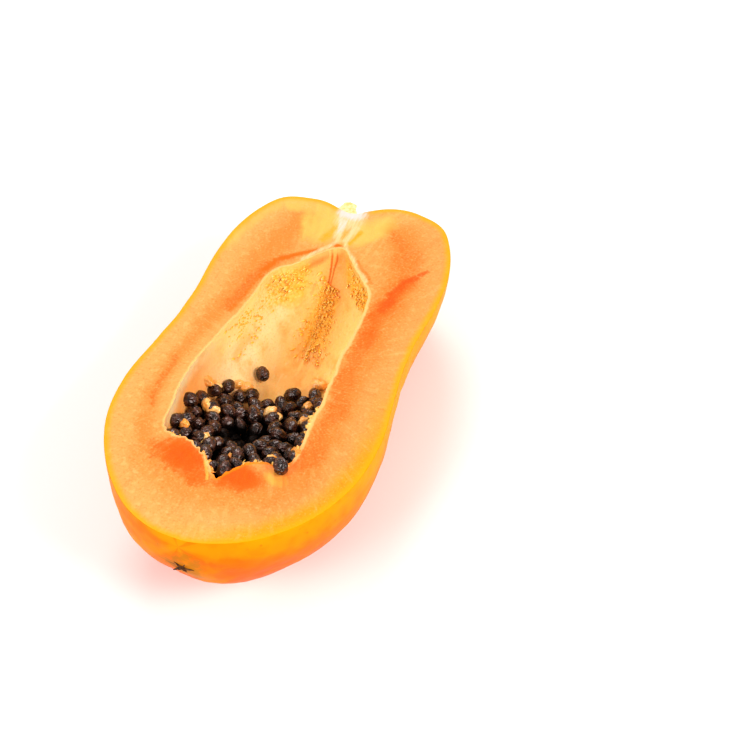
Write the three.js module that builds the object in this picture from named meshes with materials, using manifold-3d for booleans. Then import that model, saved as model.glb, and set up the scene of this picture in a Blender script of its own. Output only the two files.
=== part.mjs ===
// Half a papaya, cut lengthwise, lying on its skin with the cut face up.
// Millimetres, +Z up. The shape is laid out in the cut's own frame: the cut is the plane z = 0,
// +Y runs from the blossom end to the stem and +X is to the right, seen from above.
// At the end the group is tipped and lifted, so that it stands on its flat spot at z = 0.
import * as THREE from "three";
import { mergeVertices } from "three/addons/utils/BufferGeometryUtils.js";
import Module from "manifold-3d";

// Driving dimensions of the whole fruit, before it was cut: distance along its axis and radius there,
// from the stem to the blossom end, measured from a middle point that lies a little under the cut.
const MIDDLE = new THREE.Vector3(0, 0, -3.8);
const AXIS_DIP_DEG = 3.6; // the axis sinks under the cut towards the blossom end
const FRUIT_PROFILE = [
  [112.6, 0],
  [112.4, 22],
  [107.2, 35],
  [98.5, 40.4],
  [85, 44.8],
  [69, 46.4],
  [50, 45.7],
  [33, 46.1],
  [17, 48.2],
  [-8, 51.5],
  [-33, 48.4],
  [-55, 36.6],
  [-69, 20.8],
  [-74.9, 0],
];
const SHOULDER_LEAN = { height: 2.4, atDeg: 10, widthDeg: 9 }; // the right shoulder stands higher
const RIB = { count: 5, height: 0.9, phaseDeg: 54 }; // shallow ribs, strongest at both ends
const STEM_DENT = { x: -4, y: 108, depth: 5.5, radius: 9.5 };
const SCAR = { points: 5, reach: 5.5, waist: 1.4, height: 0.6, sunk: 3, dipDeg: 10 };

// The torn stub of the stem, cut in half with the fruit: [radius, distance along the fruit], turned
// round its own axis, which lies in the cut. Its root sits in a seat in the flesh.
const STUB_AXIS_X = -6.2;
const STUB_PROFILE = [
  [0, 101],
  [3.2, 101],
  [4.3, 105],
  [4.5, 108],
  [4, 110],
  [2.6, 112.2],
  [0, 112.8],
];
const STUB_SIDES = 16;

// The seed cavity: its edge in the cut, clockwise from the tip under the stem, with three folds at the
// blossom end, seen from a middle point inside it.
const CAVITY_MIDDLE = new THREE.Vector2(0, 15);
const CAVITY_DEPTH = 33;
const CAVITY_EDGE = [
  [1, 85.3],
  [5.2, 81],
  [9.5, 75.8],
  [15.3, 69.6],
  [18.9, 65],
  [20.5, 58],
  [21.3, 48],
  [21.3, 34],
  [22.2, 19],
  [23.3, 5],
  [23.6, -12],
  [24.2, -24],
  [23.4, -29],
  [18.9, -30],
  [13.5, -30.8],
  [7.8, -33.8],
  [4.2, -38.4],
  [1.3, -43],
  [-2.4, -39.6],
  [-6.5, -35.2],
  [-11.5, -31],
  [-17, -28.9],
  [-24.3, -28.4],
  [-27.4, -25.5],
  [-28.4, -17],
  [-30, -4],
  [-29.9, 5],
  [-28.5, 17],
  [-26.2, 29],
  [-23.6, 42],
  [-22.4, 52],
  [-21.6, 61],
  [-19, 66.4],
  [-14.6, 69.8],
  [-10.5, 75],
  [-6.5, 80.4],
  [-2.5, 84.4],
];
const CREASE = { x: -4, depth: 2.2, halfWidth: 2, start: 46, full: 62 }; // a groove down from the tip
const BOWL = { edgeward: 2.6, roundness: 2.2 }; // the lining falls steeply at its edge, flat in the middle

// Three seams of the lining carry the papillae that the seeds hung on: where each seam starts and ends
// in plan, how far the papillae stray from it and how many there are.
const SEAMS = [
  { start: [-17.5, 67], end: [-26.5, 16], stray: 2.4, count: 40 },
  { start: [-4, 77], end: [-3, 40], stray: 5.4, count: 40 },
  { start: [13.5, 71], end: [14.5, 44], stray: 2, count: 20 },
];
const PAPILLA = { height: 1.5, radius: 1.25, sunk: 0.9, sides: 4, seed: 3 };
const PALE_SEEDS = [
  [-25.2, 14.5],
  [-19.6, 23.2],
  [7, 38.5],
]; // undeveloped, still held by the lining
const PALE_SEED = { length: 5.6, width: 4.2 };

// The ripe seeds: a heap that slopes down from the blossom end, climbs the walls and has hollows.
const SEED = { length: 7.6, width: 5.6, around: 6, along: 4 };
const HEAP = { tipY: -42, tipZ: -2.5, slope: 0.385, topY: 33, sideRise: 5, sideReach: 26, core: 2 };
const HOLLOWS = [
  { x: -5.5, y: -8, depth: 8, radius: 8.5 },
  { x: -9, y: 26, depth: 6, radius: 9 },
  { x: -22, y: 12, depth: 2, radius: 7 },
];
const SCATTER = { spacing: 5, jitter: 1.1, tries: 3000, seed: 7 };
const LONE_SEED = [-13.5, 32.8, 35]; // lies on the lining above the heap: x, y and its turn
const LIP_SEED = [22, -32.3, 30]; // pushed out on the cut face, at the right-hand fold
const GAP = 0.35;

// Resting place: the half settles on a small flat spot, with its blossom end a little raised.
const REST = { tiltDeg: -7, flatCut: 0.8 };

// Mesh density
const AROUND = 96;
const CAVITY_RINGS = 11;
const SKIN_RINGS = 17;
const RIM_CROWDING = 1.3; // crowds the skin's rings towards the cut, where the ends curve most
const END_CROWDING = 0.56; // crowds the points of a ring at the two narrow ends
const CORE_AROUND = 48;
const CORE_RINGS = 8;

const wasm = await Module();
wasm.setup();

const radians = THREE.MathUtils.degToRad;
const axis = new THREE.Vector3(0, Math.cos(radians(AXIS_DIP_DEG)), Math.sin(radians(AXIS_DIP_DEG)));
const axisUp = new THREE.Vector3(0, -axis.z, axis.y);
const coneAxis = new THREE.Vector3(0, 1, 0);

// A smooth curve through [x, y] pairs sorted by x, level at its two ends.
function curveThrough(pairs) {
  const slopes = pairs.slice(1).map(([x, y], i) => (y - pairs[i][1]) / (x - pairs[i][0]));
  const tangents = pairs.map(([x], i) => {
    if (i === 0 || i === pairs.length - 1) return 0;
    const [before, after] = [x - pairs[i - 1][0], pairs[i + 1][0] - x];
    return (slopes[i - 1] * after + slopes[i] * before) / (before + after);
  });
  return (x) => {
    let i = pairs.findIndex((pair) => pair[0] > x) - 1;
    if (i < 0) i = x < pairs[0][0] ? 0 : pairs.length - 2;
    const [[x0, y0], [x1, y1]] = [pairs[i], pairs[i + 1]];
    const span = x1 - x0;
    const t = THREE.MathUtils.clamp((x - x0) / span, 0, 1);
    const rise = (3 - 2 * t) * t * t;
    const ends = t * (1 - t) * span * ((1 - t) * tangents[i] - t * tangents[i + 1]);
    return y0 + (y1 - y0) * rise + ends;
  };
}

// Radius of the whole fruit from its middle, by the angle from the stem.
const profileRadius = curveThrough(
  FRUIT_PROFILE.map(([along, radius]) => [Math.atan2(radius, along), Math.hypot(radius, along)]),
);
const dentDirection = new THREE.Vector3(STEM_DENT.x, STEM_DENT.y, 0).sub(MIDDLE).normalize();
const bump = (x, centre, width) => Math.exp(-(((x - centre) / width) ** 2));

function fruitRadius(direction) {
  const fromStem = Math.acos(THREE.MathUtils.clamp(direction.dot(axis), -1, 1));
  const sideways = direction.x / Math.max(Math.sin(fromStem), 1e-6);
  const turn = Math.atan2(direction.x, direction.dot(axisUp));
  const lean = bump(fromStem, radians(SHOULDER_LEAN.atDeg), radians(SHOULDER_LEAN.widthDeg));
  const ribbed = bump(fromStem, 0.42, 0.2) + bump(fromStem, 2.5, 0.35);
  const fromDent = STEM_DENT.y * direction.angleTo(dentDirection);
  return (
    profileRadius(fromStem) +
    SHOULDER_LEAN.height * sideways * lean +
    RIB.height * ribbed * Math.cos(RIB.count * (turn + radians(RIB.phaseDeg))) -
    STEM_DENT.depth * bump(fromDent, 0, STEM_DENT.radius)
  );
}

// Distance of the cavity's edge from its middle, by the compass bearing from the stem.
const edgePairs = CAVITY_EDGE.map(([x, y]) => {
  const [across, along] = [x - CAVITY_MIDDLE.x, y - CAVITY_MIDDLE.y];
  return [(Math.atan2(across, along) + 2 * Math.PI) % (2 * Math.PI), Math.hypot(across, along)];
});
const turnedPairs = [-1, 0, 1].flatMap((k) => edgePairs.map(([b, r]) => [b + k * 2 * Math.PI, r]));
const cavityEdge = curveThrough(turnedPairs.sort((p, q) => p[0] - q[0]));

const bearingAt = (share) =>
  Math.atan2(END_CROWDING * Math.sin(share * 2 * Math.PI), Math.cos(share * 2 * Math.PI));

const wrapped = (bearing) => (bearing + 2 * Math.PI) % (2 * Math.PI);

// Place in the cut at a share of the way from the cavity's middle to its edge.
function cavityPlan(bearing, share) {
  const reach = share * cavityEdge(wrapped(bearing));
  return [CAVITY_MIDDLE.x + reach * Math.sin(bearing), CAVITY_MIDDLE.y + reach * Math.cos(bearing)];
}

// The same, kept a gap inside the edge, also beside the folds, whose sides run nearly along the bearing.
function clearPlan(bearing, share, gap) {
  const sides = [-1, 0, 1].map((side) => cavityEdge(wrapped(bearing + side * radians(3))));
  const reach = share * (Math.min(...sides) - gap);
  return [CAVITY_MIDDLE.x + reach * Math.sin(bearing), CAVITY_MIDDLE.y + reach * Math.cos(bearing)];
}

// Depth of the lining under the cut, at a place in plan and its share of the way to the edge.
function cavityFloor(x, y, share) {
  const rest = Math.max(1 - Math.pow(share, BOWL.edgeward), 0);
  const bowl = CAVITY_DEPTH * Math.pow(rest, 1 / BOWL.roundness);
  const inside = Math.min(1, 3 * (1 - share));
  const run = THREE.MathUtils.smoothstep(y, CREASE.start, CREASE.full);
  const crease = CREASE.depth * bump(x, CREASE.x, CREASE.halfWidth) * run;
  return -(bowl + inside * crease);
}

// Where a level ray from the cavity's middle leaves the fruit.
function rimPoint(bearing) {
  let [near, far] = [0, 160];
  const point = new THREE.Vector3();
  for (let step = 0; step < 40; step++) {
    const reach = (near + far) / 2;
    point.set(reach * Math.sin(bearing), CAVITY_MIDDLE.y + reach * Math.cos(bearing), 0);
    const out = point.clone().sub(MIDDLE);
    if (out.length() < fruitRadius(out.clone().normalize())) near = reach;
    else far = reach;
  }
  return point;
}

// A closed surface from rings of points: the first and the last ring are single points.
function ringSolid(rings) {
  const around = rings[0].length;
  const geometry = new THREE.SphereGeometry(1, around, rings.length - 1);
  const position = geometry.getAttribute("position");
  let vertex = 0;
  for (const ring of rings)
    for (let i = 0; i <= around; i++) position.setXYZ(vertex++, ...ring[i % around]);
  return solidOf(geometry);
}

function solidOf(geometry) {
  const bare = geometry.clone();
  bare.deleteAttribute("normal");
  bare.deleteAttribute("uv");
  const merged = mergeVertices(bare, 1e-4);
  const made = new wasm.Manifold(
    new wasm.Mesh({
      numProp: 3,
      vertProperties: merged.getAttribute("position").array,
      triVerts: new Uint32Array(merged.index.array),
    }),
  );
  return made.volume() < 0 ? solidOf(flipped(merged)) : made;
}

function flipped(geometry) {
  const index = geometry.index.array;
  for (let i = 0; i < index.length; i += 3) [index[i], index[i + 1]] = [index[i + 1], index[i]];
  return geometry;
}

function geometryOf(solid) {
  const { numProp, vertProperties, triVerts, numVert } = solid.getMesh();
  const points = new Float32Array(numVert * 3);
  for (let i = 0; i < numVert; i++)
    points.set(vertProperties.subarray(i * numProp, i * numProp + 3), i * 3);
  const geometry = new THREE.BufferGeometry();
  geometry.setAttribute("position", new THREE.BufferAttribute(points, 3));
  geometry.setIndex(new THREE.BufferAttribute(triVerts, 1));
  geometry.computeVertexNormals();
  return geometry;
}

const bearingsOf = (around) => Array.from({ length: around }, (_, i) => bearingAt(i / around));
const sharesOf = (rings) => Array.from({ length: rings }, (_, k) => Math.sin((k / rings) * (Math.PI / 2)));

// The wall of the fruit: lining, cut face and skin in one closed surface.
function fruitWall() {
  const bearings = bearingsOf(AROUND);
  const lining = sharesOf(CAVITY_RINGS).map((share) =>
    bearings.map((bearing) => {
      const [x, y] = cavityPlan(bearing, share);
      return [x, y, cavityFloor(x, y, share)];
    }),
  );
  const edge = bearings.map((bearing) => [...cavityPlan(bearing, 1), 0]);
  const down = new THREE.Vector3(0, 0, -1);
  const rims = bearings.map((bearing) => rimPoint(bearing).sub(MIDDLE).normalize());
  const skin = Array.from({ length: SKIN_RINGS + 1 }, (_, k) => Math.pow(k / SKIN_RINGS, RIM_CROWDING));
  const skinRings = skin.map((share) =>
    rims.map((rim) => {
      const angle = rim.angleTo(down);
      const direction = rim.clone().multiplyScalar(Math.sin((1 - share) * angle));
      direction.addScaledVector(down, Math.sin(share * angle)).normalize();
      return direction.clone().multiplyScalar(fruitRadius(direction)).add(MIDDLE).toArray();
    }),
  );
  return ringSolid([...lining, edge, ...skinRings]);
}

// The space inside the cavity, kept clear of the lining by a gap and open upwards.
function cavityRoom(gap, roof) {
  const bearings = bearingsOf(CORE_AROUND);
  const rings = [...sharesOf(CORE_RINGS), 1].map((share) =>
    bearings.map((bearing) => {
      const [x, y] = clearPlan(bearing, share, gap);
      return [x, y, cavityFloor(x, y, share) + gap];
    }),
  );
  rings.push(bearings.map((bearing) => [...clearPlan(bearing, 1, gap), roof]));
  rings.push(bearings.map(() => [CAVITY_MIDDLE.x, CAVITY_MIDDLE.y, roof]));
  return ringSolid(rings);
}

// A number from 0 to 1 at each call, the same row of numbers each run.
function drawFrom(seed) {
  let state = seed;
  return () => {
    state = (Math.imul(state, 1664525) + 1013904223) >>> 0;
    return state / 4294967296;
  };
}

// Height of the heap's top.
function heapTop(x, y) {
  const climb = HEAP.sideRise * (x / HEAP.sideReach) ** 2;
  const sunk = HOLLOWS.map((h) => h.depth * bump(Math.hypot(x - h.x, y - h.y), 0, h.radius));
  return HEAP.tipZ - HEAP.slope * (y - HEAP.tipY) + climb - sunk.reduce((sum, depth) => sum + depth);
}

// Share of the way to the cavity's edge, and the lining's height, at a place in plan.
function underfoot(x, y) {
  const [across, along] = [x - CAVITY_MIDDLE.x, y - CAVITY_MIDDLE.y];
  const share = Math.hypot(across, along) / cavityEdge(wrapped(Math.atan2(across, along)));
  return { share, floor: share < 1 ? cavityFloor(x, y, share) : 0 };
}

// Centres and turns of the heaped seeds: thrown one by one on its top, kept apart.
function seedPlaces() {
  const draw = drawFrom(SCATTER.seed);
  const places = [];
  for (let n = 0; n < SCATTER.tries; n++) {
    const x = THREE.MathUtils.lerp(-30, 26, draw());
    const y = THREE.MathUtils.lerp(HEAP.tipY, HEAP.topY, draw());
    const lift = SCATTER.jitter * (2 * draw() - 1);
    const turns = [draw() * 180, draw() * 70 - 35];
    const { share, floor } = underfoot(x, y);
    const z = Math.max(heapTop(x, y) + lift, floor + SEED.width / 2);
    const onHeap = share < 0.95 && z < heapTop(x, y) + 2.5;
    const apart = places.every((p) => Math.hypot(p[0] - x, p[1] - y, p[2] - z) > SCATTER.spacing);
    if (onHeap && apart) places.push([x, y, z, ...turns]);
  }
  return places;
}

function seedSolid([x, y, z, turn, tip], { length, width } = SEED) {
  const geometry = new THREE.SphereGeometry(0.5, SEED.around, SEED.along);
  geometry.scale(width, length, width);
  geometry.rotateX(radians(tip));
  geometry.rotateZ(radians(turn));
  geometry.translate(x, y, z);
  return solidOf(geometry);
}

// A seed that lies on the lining, or on the cut face where it is past the cavity's edge.
function looseSeed([x, y, turn]) {
  const { share, floor } = underfoot(x, y);
  return seedSolid([x, y, floor + SEED.width / 2 + (share < 1 ? 4 : 1) * GAP, turn, 0]);
}

const paleSeeds = (spare) =>
  PALE_SEEDS.map(([x, y], i) => {
    const { floor } = underfoot(x, y);
    const size = { length: PALE_SEED.length + 2 * spare, width: PALE_SEED.width + 2 * spare };
    return seedSolid([x, y, floor + 0.3 * PALE_SEED.width, 50 * i, 20], size);
  });

const joined = (first, solids) => solids.reduce((sum, solid) => sum.add(solid), first);
const largestBody = (solid) => solid.decompose().sort((p, q) => q.volume() - p.volume())[0];

// What lies under the heap's top, a little wider than the cavity.
function underHeap() {
  const bearings = bearingsOf(CORE_AROUND);
  const base = -2 * CAVITY_DEPTH;
  const top = [...sharesOf(CORE_RINGS), 1].map((share) =>
    bearings.map((bearing) => {
      const [x, y] = cavityPlan(bearing, 1.1 * share);
      return [x, y, heapTop(x, y) - HEAP.core];
    }),
  );
  const foot = top.at(-1).map(([x, y]) => [x, y, base]);
  const middle = bearings.map(() => [CAVITY_MIDDLE.x, CAVITY_MIDDLE.y, base]);
  return ringSolid([...top, foot, middle]);
}

// The heap: seeds standing out of a core that fills the bottom of the cavity.
function seedHeap() {
  const room = cavityRoom(2.5 * GAP, 2 * SEED.width);
  const seeds = seedPlaces().map((place) => seedSolid(place));
  const heap = joined(room.intersect(underHeap()), seeds).intersect(room);
  return largestBody(paleSeeds(GAP).reduce((left, seed) => left.subtract(seed), heap));
}

// Places of the papillae in plan, strewn along the seams.
function papillaPlaces() {
  const draw = drawFrom(PAPILLA.seed);
  const places = SEAMS.flatMap(({ start, end, stray, count }) =>
    Array.from({ length: count }, (_, n) => {
      const along = (n + draw()) / count;
      const aside = stray * (2 * draw() - 1);
      return [
        THREE.MathUtils.lerp(start[0], end[0], along) + aside,
        THREE.MathUtils.lerp(start[1], end[1], along),
      ];
    }),
  );
  return places.filter(([x, y]) => underfoot(x, y).share < 0.96);
}

// One papilla, square to the lining.
function papilla([x, y]) {
  const out = new THREE.Vector3(underfoot(x - 0.5, y).floor - underfoot(x + 0.5, y).floor, 0, 1);
  const cone = new THREE.ConeGeometry(PAPILLA.radius, PAPILLA.height + PAPILLA.sunk, PAPILLA.sides);
  cone.translate(0, (PAPILLA.height - PAPILLA.sunk) / 2, 0);
  cone.applyQuaternion(new THREE.Quaternion().setFromUnitVectors(coneAxis, out.normalize()));
  cone.translate(x, y, underfoot(x, y).floor);
  return solidOf(cone);
}

// The blossom scar: a small star that stands out of the skin under the blossom end's tip.
function blossomScar() {
  const star = new THREE.Shape();
  for (let i = 0; i < 2 * SCAR.points; i++) {
    const reach = i % 2 ? SCAR.waist : SCAR.reach;
    const turn = (i * Math.PI) / SCAR.points;
    star[i ? "lineTo" : "moveTo"](reach * Math.sin(turn), reach * Math.cos(turn));
  }
  const boss = new THREE.ExtrudeGeometry(star, { depth: SCAR.sunk + SCAR.height, bevelEnabled: false });
  const outward = new THREE.Vector3(0, -Math.cos(radians(SCAR.dipDeg)), -Math.sin(radians(SCAR.dipDeg)));
  const end = outward.clone().multiplyScalar(fruitRadius(outward) - SCAR.sunk).add(MIDDLE);
  boss.applyQuaternion(new THREE.Quaternion().setFromUnitVectors(new THREE.Vector3(0, 0, 1), outward));
  boss.translate(...end.toArray());
  return solidOf(boss);
}

// The whole stub, or its seat in the flesh when it is given some spare room.
function stubSolid(spare) {
  const root = STUB_PROFILE[0][1];
  const points = STUB_PROFILE.map(
    ([radius, along]) => new THREE.Vector2(radius && radius + spare, along === root ? along - spare : along),
  );
  const lathe = new THREE.LatheGeometry(points, STUB_SIDES);
  lathe.translate(STUB_AXIS_X, 0, 0);
  return solidOf(lathe);
}

// A slab far wider than the fruit, with its top or its bottom at a height.
function slab(height, thickness) {
  const box = new THREE.BoxGeometry(400, 400, Math.abs(thickness));
  box.translate(0, 0, height + thickness / 2);
  return box;
}

// How the half is turned when it lies at rest.
const lying = new THREE.Quaternion().setFromAxisAngle(new THREE.Vector3(1, 0, 0), radians(REST.tiltDeg));

// The part of a solid above its flat spot.
function onFlatSpot(solid) {
  const points = geometryOf(solid).applyQuaternion(lying);
  points.computeBoundingBox();
  const ground = slab(points.boundingBox.min.z + REST.flatCut, -20);
  return solid.subtract(solidOf(ground.applyQuaternion(lying.clone().invert())));
}

function fruitHalf() {
  const wall = joined(fruitWall(), [blossomScar(), ...papillaPlaces().map(papilla), ...paleSeeds(0)]);
  return onFlatSpot(wall.subtract(stubSolid(GAP)));
}

const stemStub = () => stubSolid(0).subtract(solidOf(slab(0, 40)));

const flesh = { color: 0xf39a32, roughness: 0.45, metalness: 0 };
const pith = { color: 0xf4ead0, roughness: 0.8, metalness: 0 };
const ripeSeed = { color: 0x1c110c, roughness: 0.3, metalness: 0 };

const papaya = new THREE.Group();

function add(name, solid, look) {
  const mesh = new THREE.Mesh(geometryOf(solid), new THREE.MeshStandardMaterial(look));
  mesh.name = name;
  papaya.add(mesh);
}

add("fruit_half", fruitHalf(), flesh);
add("stem_stub", stemStub(), pith);
add("seed_heap", seedHeap(), ripeSeed);
add("lone_seed", looseSeed(LONE_SEED), ripeSeed);
add("lip_seed", looseSeed(LIP_SEED), ripeSeed);

// The origin is under the middle of the half, on the ground that it lies on.
papaya.quaternion.copy(lying);
papaya.updateMatrixWorld(true);
const bounds = new THREE.Box3().setFromObject(papaya, true);
const middle = bounds.getCenter(new THREE.Vector3());
papaya.position.set(-middle.x, -middle.y, -bounds.min.z);

export default papaya;
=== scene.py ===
"""Looks of a papaya half, cut lengthwise and lying on its skin with the cut face up.

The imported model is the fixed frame. Each of its nodes is replaced by a finer piece that is worked out from
the same sizes. Sizes are in millimetres in the cut's own frame: the cut is the plane z = 0, +Y runs from the
blossom end to the stem and +X is to the right, seen from above. Lying turns and lifts points of that frame
to where the model lies, in metres.
"""

import logging
import math
from collections.abc import Callable, Iterator
from dataclasses import dataclass, field
from enum import Enum
from functools import cached_property

import bpy
import numpy as np
from mathutils import Euler, Matrix, Vector, noise


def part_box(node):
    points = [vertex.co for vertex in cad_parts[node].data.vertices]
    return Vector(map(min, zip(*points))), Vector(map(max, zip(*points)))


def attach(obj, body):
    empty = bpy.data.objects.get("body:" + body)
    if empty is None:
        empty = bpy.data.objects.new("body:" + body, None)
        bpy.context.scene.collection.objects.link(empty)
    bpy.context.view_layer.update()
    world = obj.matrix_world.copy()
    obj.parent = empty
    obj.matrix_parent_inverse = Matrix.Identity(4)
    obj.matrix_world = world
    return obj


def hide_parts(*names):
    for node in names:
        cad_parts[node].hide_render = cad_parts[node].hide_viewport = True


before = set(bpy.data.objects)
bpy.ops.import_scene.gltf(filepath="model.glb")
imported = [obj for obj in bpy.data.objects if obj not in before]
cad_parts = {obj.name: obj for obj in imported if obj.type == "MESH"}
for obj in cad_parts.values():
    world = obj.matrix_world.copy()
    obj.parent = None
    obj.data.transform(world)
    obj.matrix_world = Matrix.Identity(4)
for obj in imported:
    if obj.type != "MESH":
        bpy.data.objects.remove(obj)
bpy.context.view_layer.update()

log = logging.getLogger("papaya")
MM = 0.001
KEY_STOP = 1.3  # How much stronger than plain the studio's light is
ROOT = "root"
UP = Vector((0, 0, 1))
Colour = tuple[float, float, float, float]
LooseSpot = tuple[float, float, float, float, int]


def bump(x: np.ndarray, centre: float, width: float) -> np.ndarray:
    """A smooth hump, 1 at its centre."""
    return np.exp(-(((x - centre) / width) ** 2))


def smoothstep(x: np.ndarray, low: float, high: float) -> np.ndarray:
    """A smooth rise from 0 at low to 1 at high."""
    t = np.clip((x - low) / (high - low), 0, 1)
    return t * t * (3 - 2 * t)


def rough(points: np.ndarray, size: float, octaves: int = 1) -> np.ndarray:
    """Smooth noise at points, from about -1 to 1.

    Args:
        points: Places in millimetres, one a row.
        size: Size of the noise's features in millimetres.
        octaves: How many finer layers are added, each half as strong.

    Returns:
        One number a point.
    """
    return np.array([noise.fractal(Vector(p) / size, 0.9, 2.0, octaves) for p in points.tolist()])


def drawn_from(seed: int) -> Iterator[float]:
    """Yields numbers from 0 to 1, the same row each run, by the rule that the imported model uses."""
    state = seed
    while True:
        state = (state * 1664525 + 1013904223) % 4294967296
        yield state / 4294967296


def srgb(red: int, green: int, blue: int) -> Colour:
    """A colour given as on a screen, from 0 to 255, as the linear values that shaders take."""
    parts = [c / 255 for c in (red, green, blue)]
    linear = [c / 12.92 if c <= 0.04045 else ((c + 0.055) / 1.055) ** 2.4 for c in parts]
    return (*linear, 1.0)


def seen(red: int, green: int, blue: int) -> Colour:
    """A colour as the photograph shows it, toned down for the strong light that leaves red at its full."""
    linear = srgb(red, green, blue)
    return (linear[0], linear[1] / KEY_STOP, linear[2] / KEY_STOP, 1.0)


class SmoothCurve:
    """A smooth curve through points, level at its two ends."""

    def __init__(self, pairs: list[tuple[float, float]]) -> None:
        """Takes the points as (x, y) pairs."""
        self.x, self.y = np.array(sorted(pairs), float).T
        steps = np.diff(self.x)
        slopes = np.diff(self.y) / steps
        inner = (slopes[:-1] * steps[1:] + slopes[1:] * steps[:-1]) / (steps[:-1] + steps[1:])
        self.tangent = np.concatenate([[0], inner, [0]])

    def __call__(self, x: np.ndarray) -> np.ndarray:
        """The curve's height at x."""
        i = np.clip(np.searchsorted(self.x, x, side="right") - 1, 0, len(self.x) - 2)
        span = self.x[i + 1] - self.x[i]
        t = np.clip((x - self.x[i]) / span, 0, 1)
        ends = t * (1 - t) * span * ((1 - t) * self.tangent[i] - t * self.tangent[i + 1])
        return self.y[i] + (self.y[i + 1] - self.y[i]) * (3 - 2 * t) * t * t + ends


FRUIT_PROFILE = [
    (112.6, 0), (112.4, 22), (107.2, 35), (98.5, 40.4), (85, 44.8), (69, 46.4), (50, 45.7),
    (33, 46.1), (17, 48.2), (-8, 51.5), (-33, 48.4), (-55, 36.6), (-69, 20.8), (-74.9, 0),
]
CAVITY_EDGE = [
    (1, 85.3), (5.2, 81), (9.5, 75.8), (15.3, 69.6), (18.9, 65), (20.5, 58), (21.3, 48),
    (21.3, 34), (22.2, 19), (23.3, 5), (23.6, -12), (24.2, -24), (23.4, -29), (18.9, -30),
    (13.5, -30.8), (7.8, -33.8), (4.2, -38.4), (1.3, -43), (-2.4, -39.6), (-6.5, -35.2), (-11.5, -31),
    (-17, -28.9), (-24.3, -28.4), (-27.4, -25.5), (-28.4, -17), (-30, -4), (-29.9, 5), (-28.5, 17),
    (-26.2, 29), (-23.6, 42), (-22.4, 52), (-21.6, 61), (-19, 66.4), (-14.6, 69.8), (-10.5, 75),
    (-6.5, 80.4), (-2.5, 84.4),
]


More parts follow.
